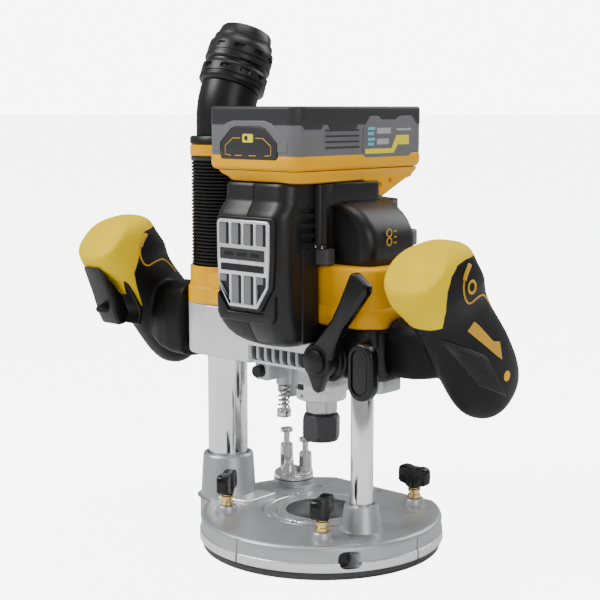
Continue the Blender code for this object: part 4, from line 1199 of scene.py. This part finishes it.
def decorate(side, x, grip):
    """Yellow lines, a plain label, a tab, a screw and a field of ribs, laid on the grip."""
    tree = surface_of(grip)
    for name, face in (("outer", 1), ("inner", -1)):
        swirl = laid_on(tree, spline(SWIRL, 6), face)
        if len(swirl) > 4:
            piece(f"{side}_swirl_{name}", sweep(spline(swirl, 2), 0.6), "line_yellow")
            piece(f"{side}_swirl_start_{name}", sweep(spline(swirl[:9], 2), 1.5), "line_yellow")
    outward = 1 if side == "right" else -1
    flat_on(grip, f"{side}_label", LABEL, outward, "line_yellow")
    flat_on(grip, f"{side}_tab", circle((3, 133), 3.2, 24), outward, "yellow")
    hole = laid_on(tree, [SCREW], outward)[0]
    rise = [(2.6, -1.6), (4.3, -1.6), (4.3, 0.2), (3.5, 0.6), (2.6, 0.1)]
    ring = [(radius, hole.x + outward * lift) for radius, lift in rise]
    piece(f"{side}_screw_ring", tube(ring, SCREW, 40, "X"), "line_yellow")
    piece(f"{side}_screw", rod(2.5, hole.x - outward * 2, hole.x - outward * 0.3, SCREW, 32, "X"),
          "bellows")
    for face, tag in ((1, "a"), (-1, "b")):
        for i in range(RIBS):
            t = i / (RIBS - 1)
            start = (-48 + 28 * t, 160 - 29 * t)
            end = (-18 + 22 * t, 147 - 26 * t)
            path = laid_on(tree, dense(start, end, 1.5), face, (x - 21, x + 21))
            if len(path) > 6:
                piece(f"{side}_rib_{tag}_{i}", sweep(path, 0.8, 6), "satin_black")


def flat_on(grip, name, outline, side, look):
    """A thin patch of the given side-view outline, following the grip's surface."""
    patch = copy_of(grip)
    corners = [(corner[0] - AXIS[0]) / MM for corner in grip.bound_box]
    start = max(corners, key=abs) - side * HANDLE_HALF
    limit = new_object("patch_limit", prism(outline, start, start + side * 60, "X"))
    boolean(patch, [limit], "INTERSECT")
    settle(patch, [limit])
    bm = bmesh.new()
    bm.from_mesh(patch.data)
    bmesh.ops.translate(bm, vec=(side * 0.25 * MM, 0, 0), verts=bm.verts)
    bm.to_mesh(patch.data)
    bm.free()
    patch.name = name
    dress(patch, look, "carriage")


def dense(a, b, step):
    """Points along a straight line, about a step apart."""
    count = max(1, int(hypot(b[0] - a[0], b[1] - a[1]) / step))
    return [(a[0] + (b[0] - a[0]) * k / count, a[1] + (b[1] - a[1]) * k / count) for k in range(count)] + [b]


def trigger():
    x = HANDLE_X["left"]
    face = [(-73.5, 182.5), (-66, 164), (-60, 147), (-56, 139.5), (-49.5, 140.5), (-46.4, 148), (-52, 160),
            (-60, 170), (-68, 178)]
    piece("trigger_lever", prism(face, x - 9.5, x + 9.5, "X"), "gloss_black", "trigger_lever", ("trigger",),
          round_to=2.6, segments=5, angle=30)
    back = [(-66, 183.5), (-56, 172), (-48.4, 161), (-41.6, 150), (-41.8, 144.5), (-43.6, 139.6),
            (-40.5, 138.6), (-38.8, 144), (-38.6, 151), (-45.6, 162), (-53.6, 173), (-62, 183.5)]
    piece("trigger_well", prism(back, x - 14.5, x + 14.5, "X"), "satin_black", round_to=1)
    nib = turned([(3.6, -58), (3.4, -64), (2.2, -67.6), (0.8, -69)], (x, 151.6), 32, "Y")
    piece("lock_nib", nib, "satin_black", "safety_button", ("lock_off",))


# ---- CAD nodes that stay ----

CARRIED = {
    "turret_pivot_screw": "steel", "depth_rod": "steel", "rod_guide": "cast", "spindle_lock": "black",
    "spindle_shaft": "steel", "rotor": "dark_steel", "stator": "copper", "cooling_fan": "black",
    "lower_bearing": "steel", "upper_bearing": "steel", "left_bush": "brass", "right_bush": "brass",
    "control_board": "board", "speed_dial": "mid_grey",
}


def carried():
    for node, look in CARRIED.items():
        obj = NODES[node]
        obj.data.materials.clear()
        obj.data.materials.append(MATERIALS[look])


# ---- studio ----


# lens and sensor in millimetres, then metres from the spindle axis, and a direction
LENS = (80.4, 36)
CAMERA_PLACE, CAMERA_AIM = (0.5798, -0.6655, 0.2925), (-0.6623, 0.7355, -0.1426)


def camera():
    data = bpy.data.cameras.new("camera")
    data.lens, data.sensor_width = LENS
    data.clip_start = 0.05
    obj = bpy.data.objects.new("camera", data)
    obj.location = (AXIS[0] + CAMERA_PLACE[0], AXIS[1] + CAMERA_PLACE[1], CAMERA_PLACE[2])
    obj.rotation_euler = Vector(CAMERA_AIM).to_track_quat("-Z", "Y").to_euler()
    bpy.context.collection.objects.link(obj)
    bpy.context.scene.camera = obj


def area_light(name, place, height, size, power):
    data = bpy.data.lights.new(name, "AREA")
    data.size = size
    data.energy = power
    obj = bpy.data.objects.new(name, data)
    obj.location = place
    obj.rotation_euler = (Vector((0, 0, height)) - Vector(place)).to_track_quat("-Z", "Y").to_euler()
    bpy.context.collection.objects.link(obj)


WHITE = (1, 1, 1, 1)
# name, place, height of the point it looks at, size and power
LIGHTS = (
    ("key", (-0.9, -1.3, 1.6), 0.2, 1, 38), ("fill", (1.7, -0.7, 0.9), 0.15, 0.9, 10),
    ("top", (0.1, 0.1, 2.2), 0, 1.2, 20), ("rim", (0.4, 1.5, 1.2), 0.2, 1, 12),
)


def studio():
    world = bpy.data.worlds.new("studio")
    world.use_nodes = True
    nodes, links = world.node_tree.nodes, world.node_tree.links
    soft_light = nodes["Background"]
    soft_light.inputs["Color"].default_value = WHITE
    soft_light.inputs["Strength"].default_value = 0.36
    backdrop = node_with(nodes, "ShaderNodeBackground", Color=WHITE, Strength=8)
    links.new(seen_by_camera(nodes, links, soft_light, backdrop).outputs["Shader"],
              nodes["World Output"].inputs["Surface"])
    bpy.context.scene.world = world
    for light in LIGHTS:
        area_light(*light)
    floor = new_object("floor", skin([[(x, y, z) for x, y in circle((0, 0), 60000, 96)] for z in (-20, 0)]))
    floor.data.materials.append(floor_material())


def seen_by_camera(nodes, links, otherwise, seen):
    """Mixes two shaders: the second is what the camera sees, the first is what lights the object."""
    path = nodes.new("ShaderNodeLightPath")
    choice = nodes.new("ShaderNodeMixShader")
    links.new(path.outputs["Is Camera Ray"], choice.inputs["Fac"])
    links.new(otherwise.outputs[0], choice.inputs[1])
    links.new(seen.outputs[0], choice.inputs[2])
    return choice


def floor_material():
    """A pale floor that shows nearly white, so that hardly any horizon stands behind the object."""
    material = bpy.data.materials.new("floor")
    material.use_nodes = True
    nodes, links = material.node_tree.nodes, material.node_tree.links
    matt = nodes["Principled BSDF"]
    noise = node_with(nodes, "ShaderNodeTexNoise", Scale=3)
    tint = tint_between(nodes, [0.82] * 3, [0.84] * 3)
    links.new(noise.outputs["Fac"], tint.inputs["Factor"])
    links.new(tint.outputs["Result"], matt.inputs["Base Color"])
    matt.inputs["Roughness"].default_value = 0.9
    matt.inputs["Specular IOR Level"].default_value = 0.1
    glow = node_with(nodes, "ShaderNodeEmission", Strength=6)
    both = nodes.new("ShaderNodeAddShader")
    links.new(matt.outputs[0], both.inputs[0])
    links.new(glow.outputs[0], both.inputs[1])
    choice = seen_by_camera(nodes, links, matt, both)
    links.new(choice.outputs["Shader"], nodes["Material Output"].inputs["Surface"])
    return material


camera()
base()
bosses()
duct_hump()
insert()
sub_base()
columns()
plunge_coil()
knobs()
turret()
depth_knob()
bellows()
dust_rings()
elbow()
casting()
yellow_band()
lower_block()
upper_block()
cover()
louvre()
nose()
collet()
bumper()
battery()
foot()
lever()
paddle()
handle("left")
handle("right")
trigger()
carried()
studio()
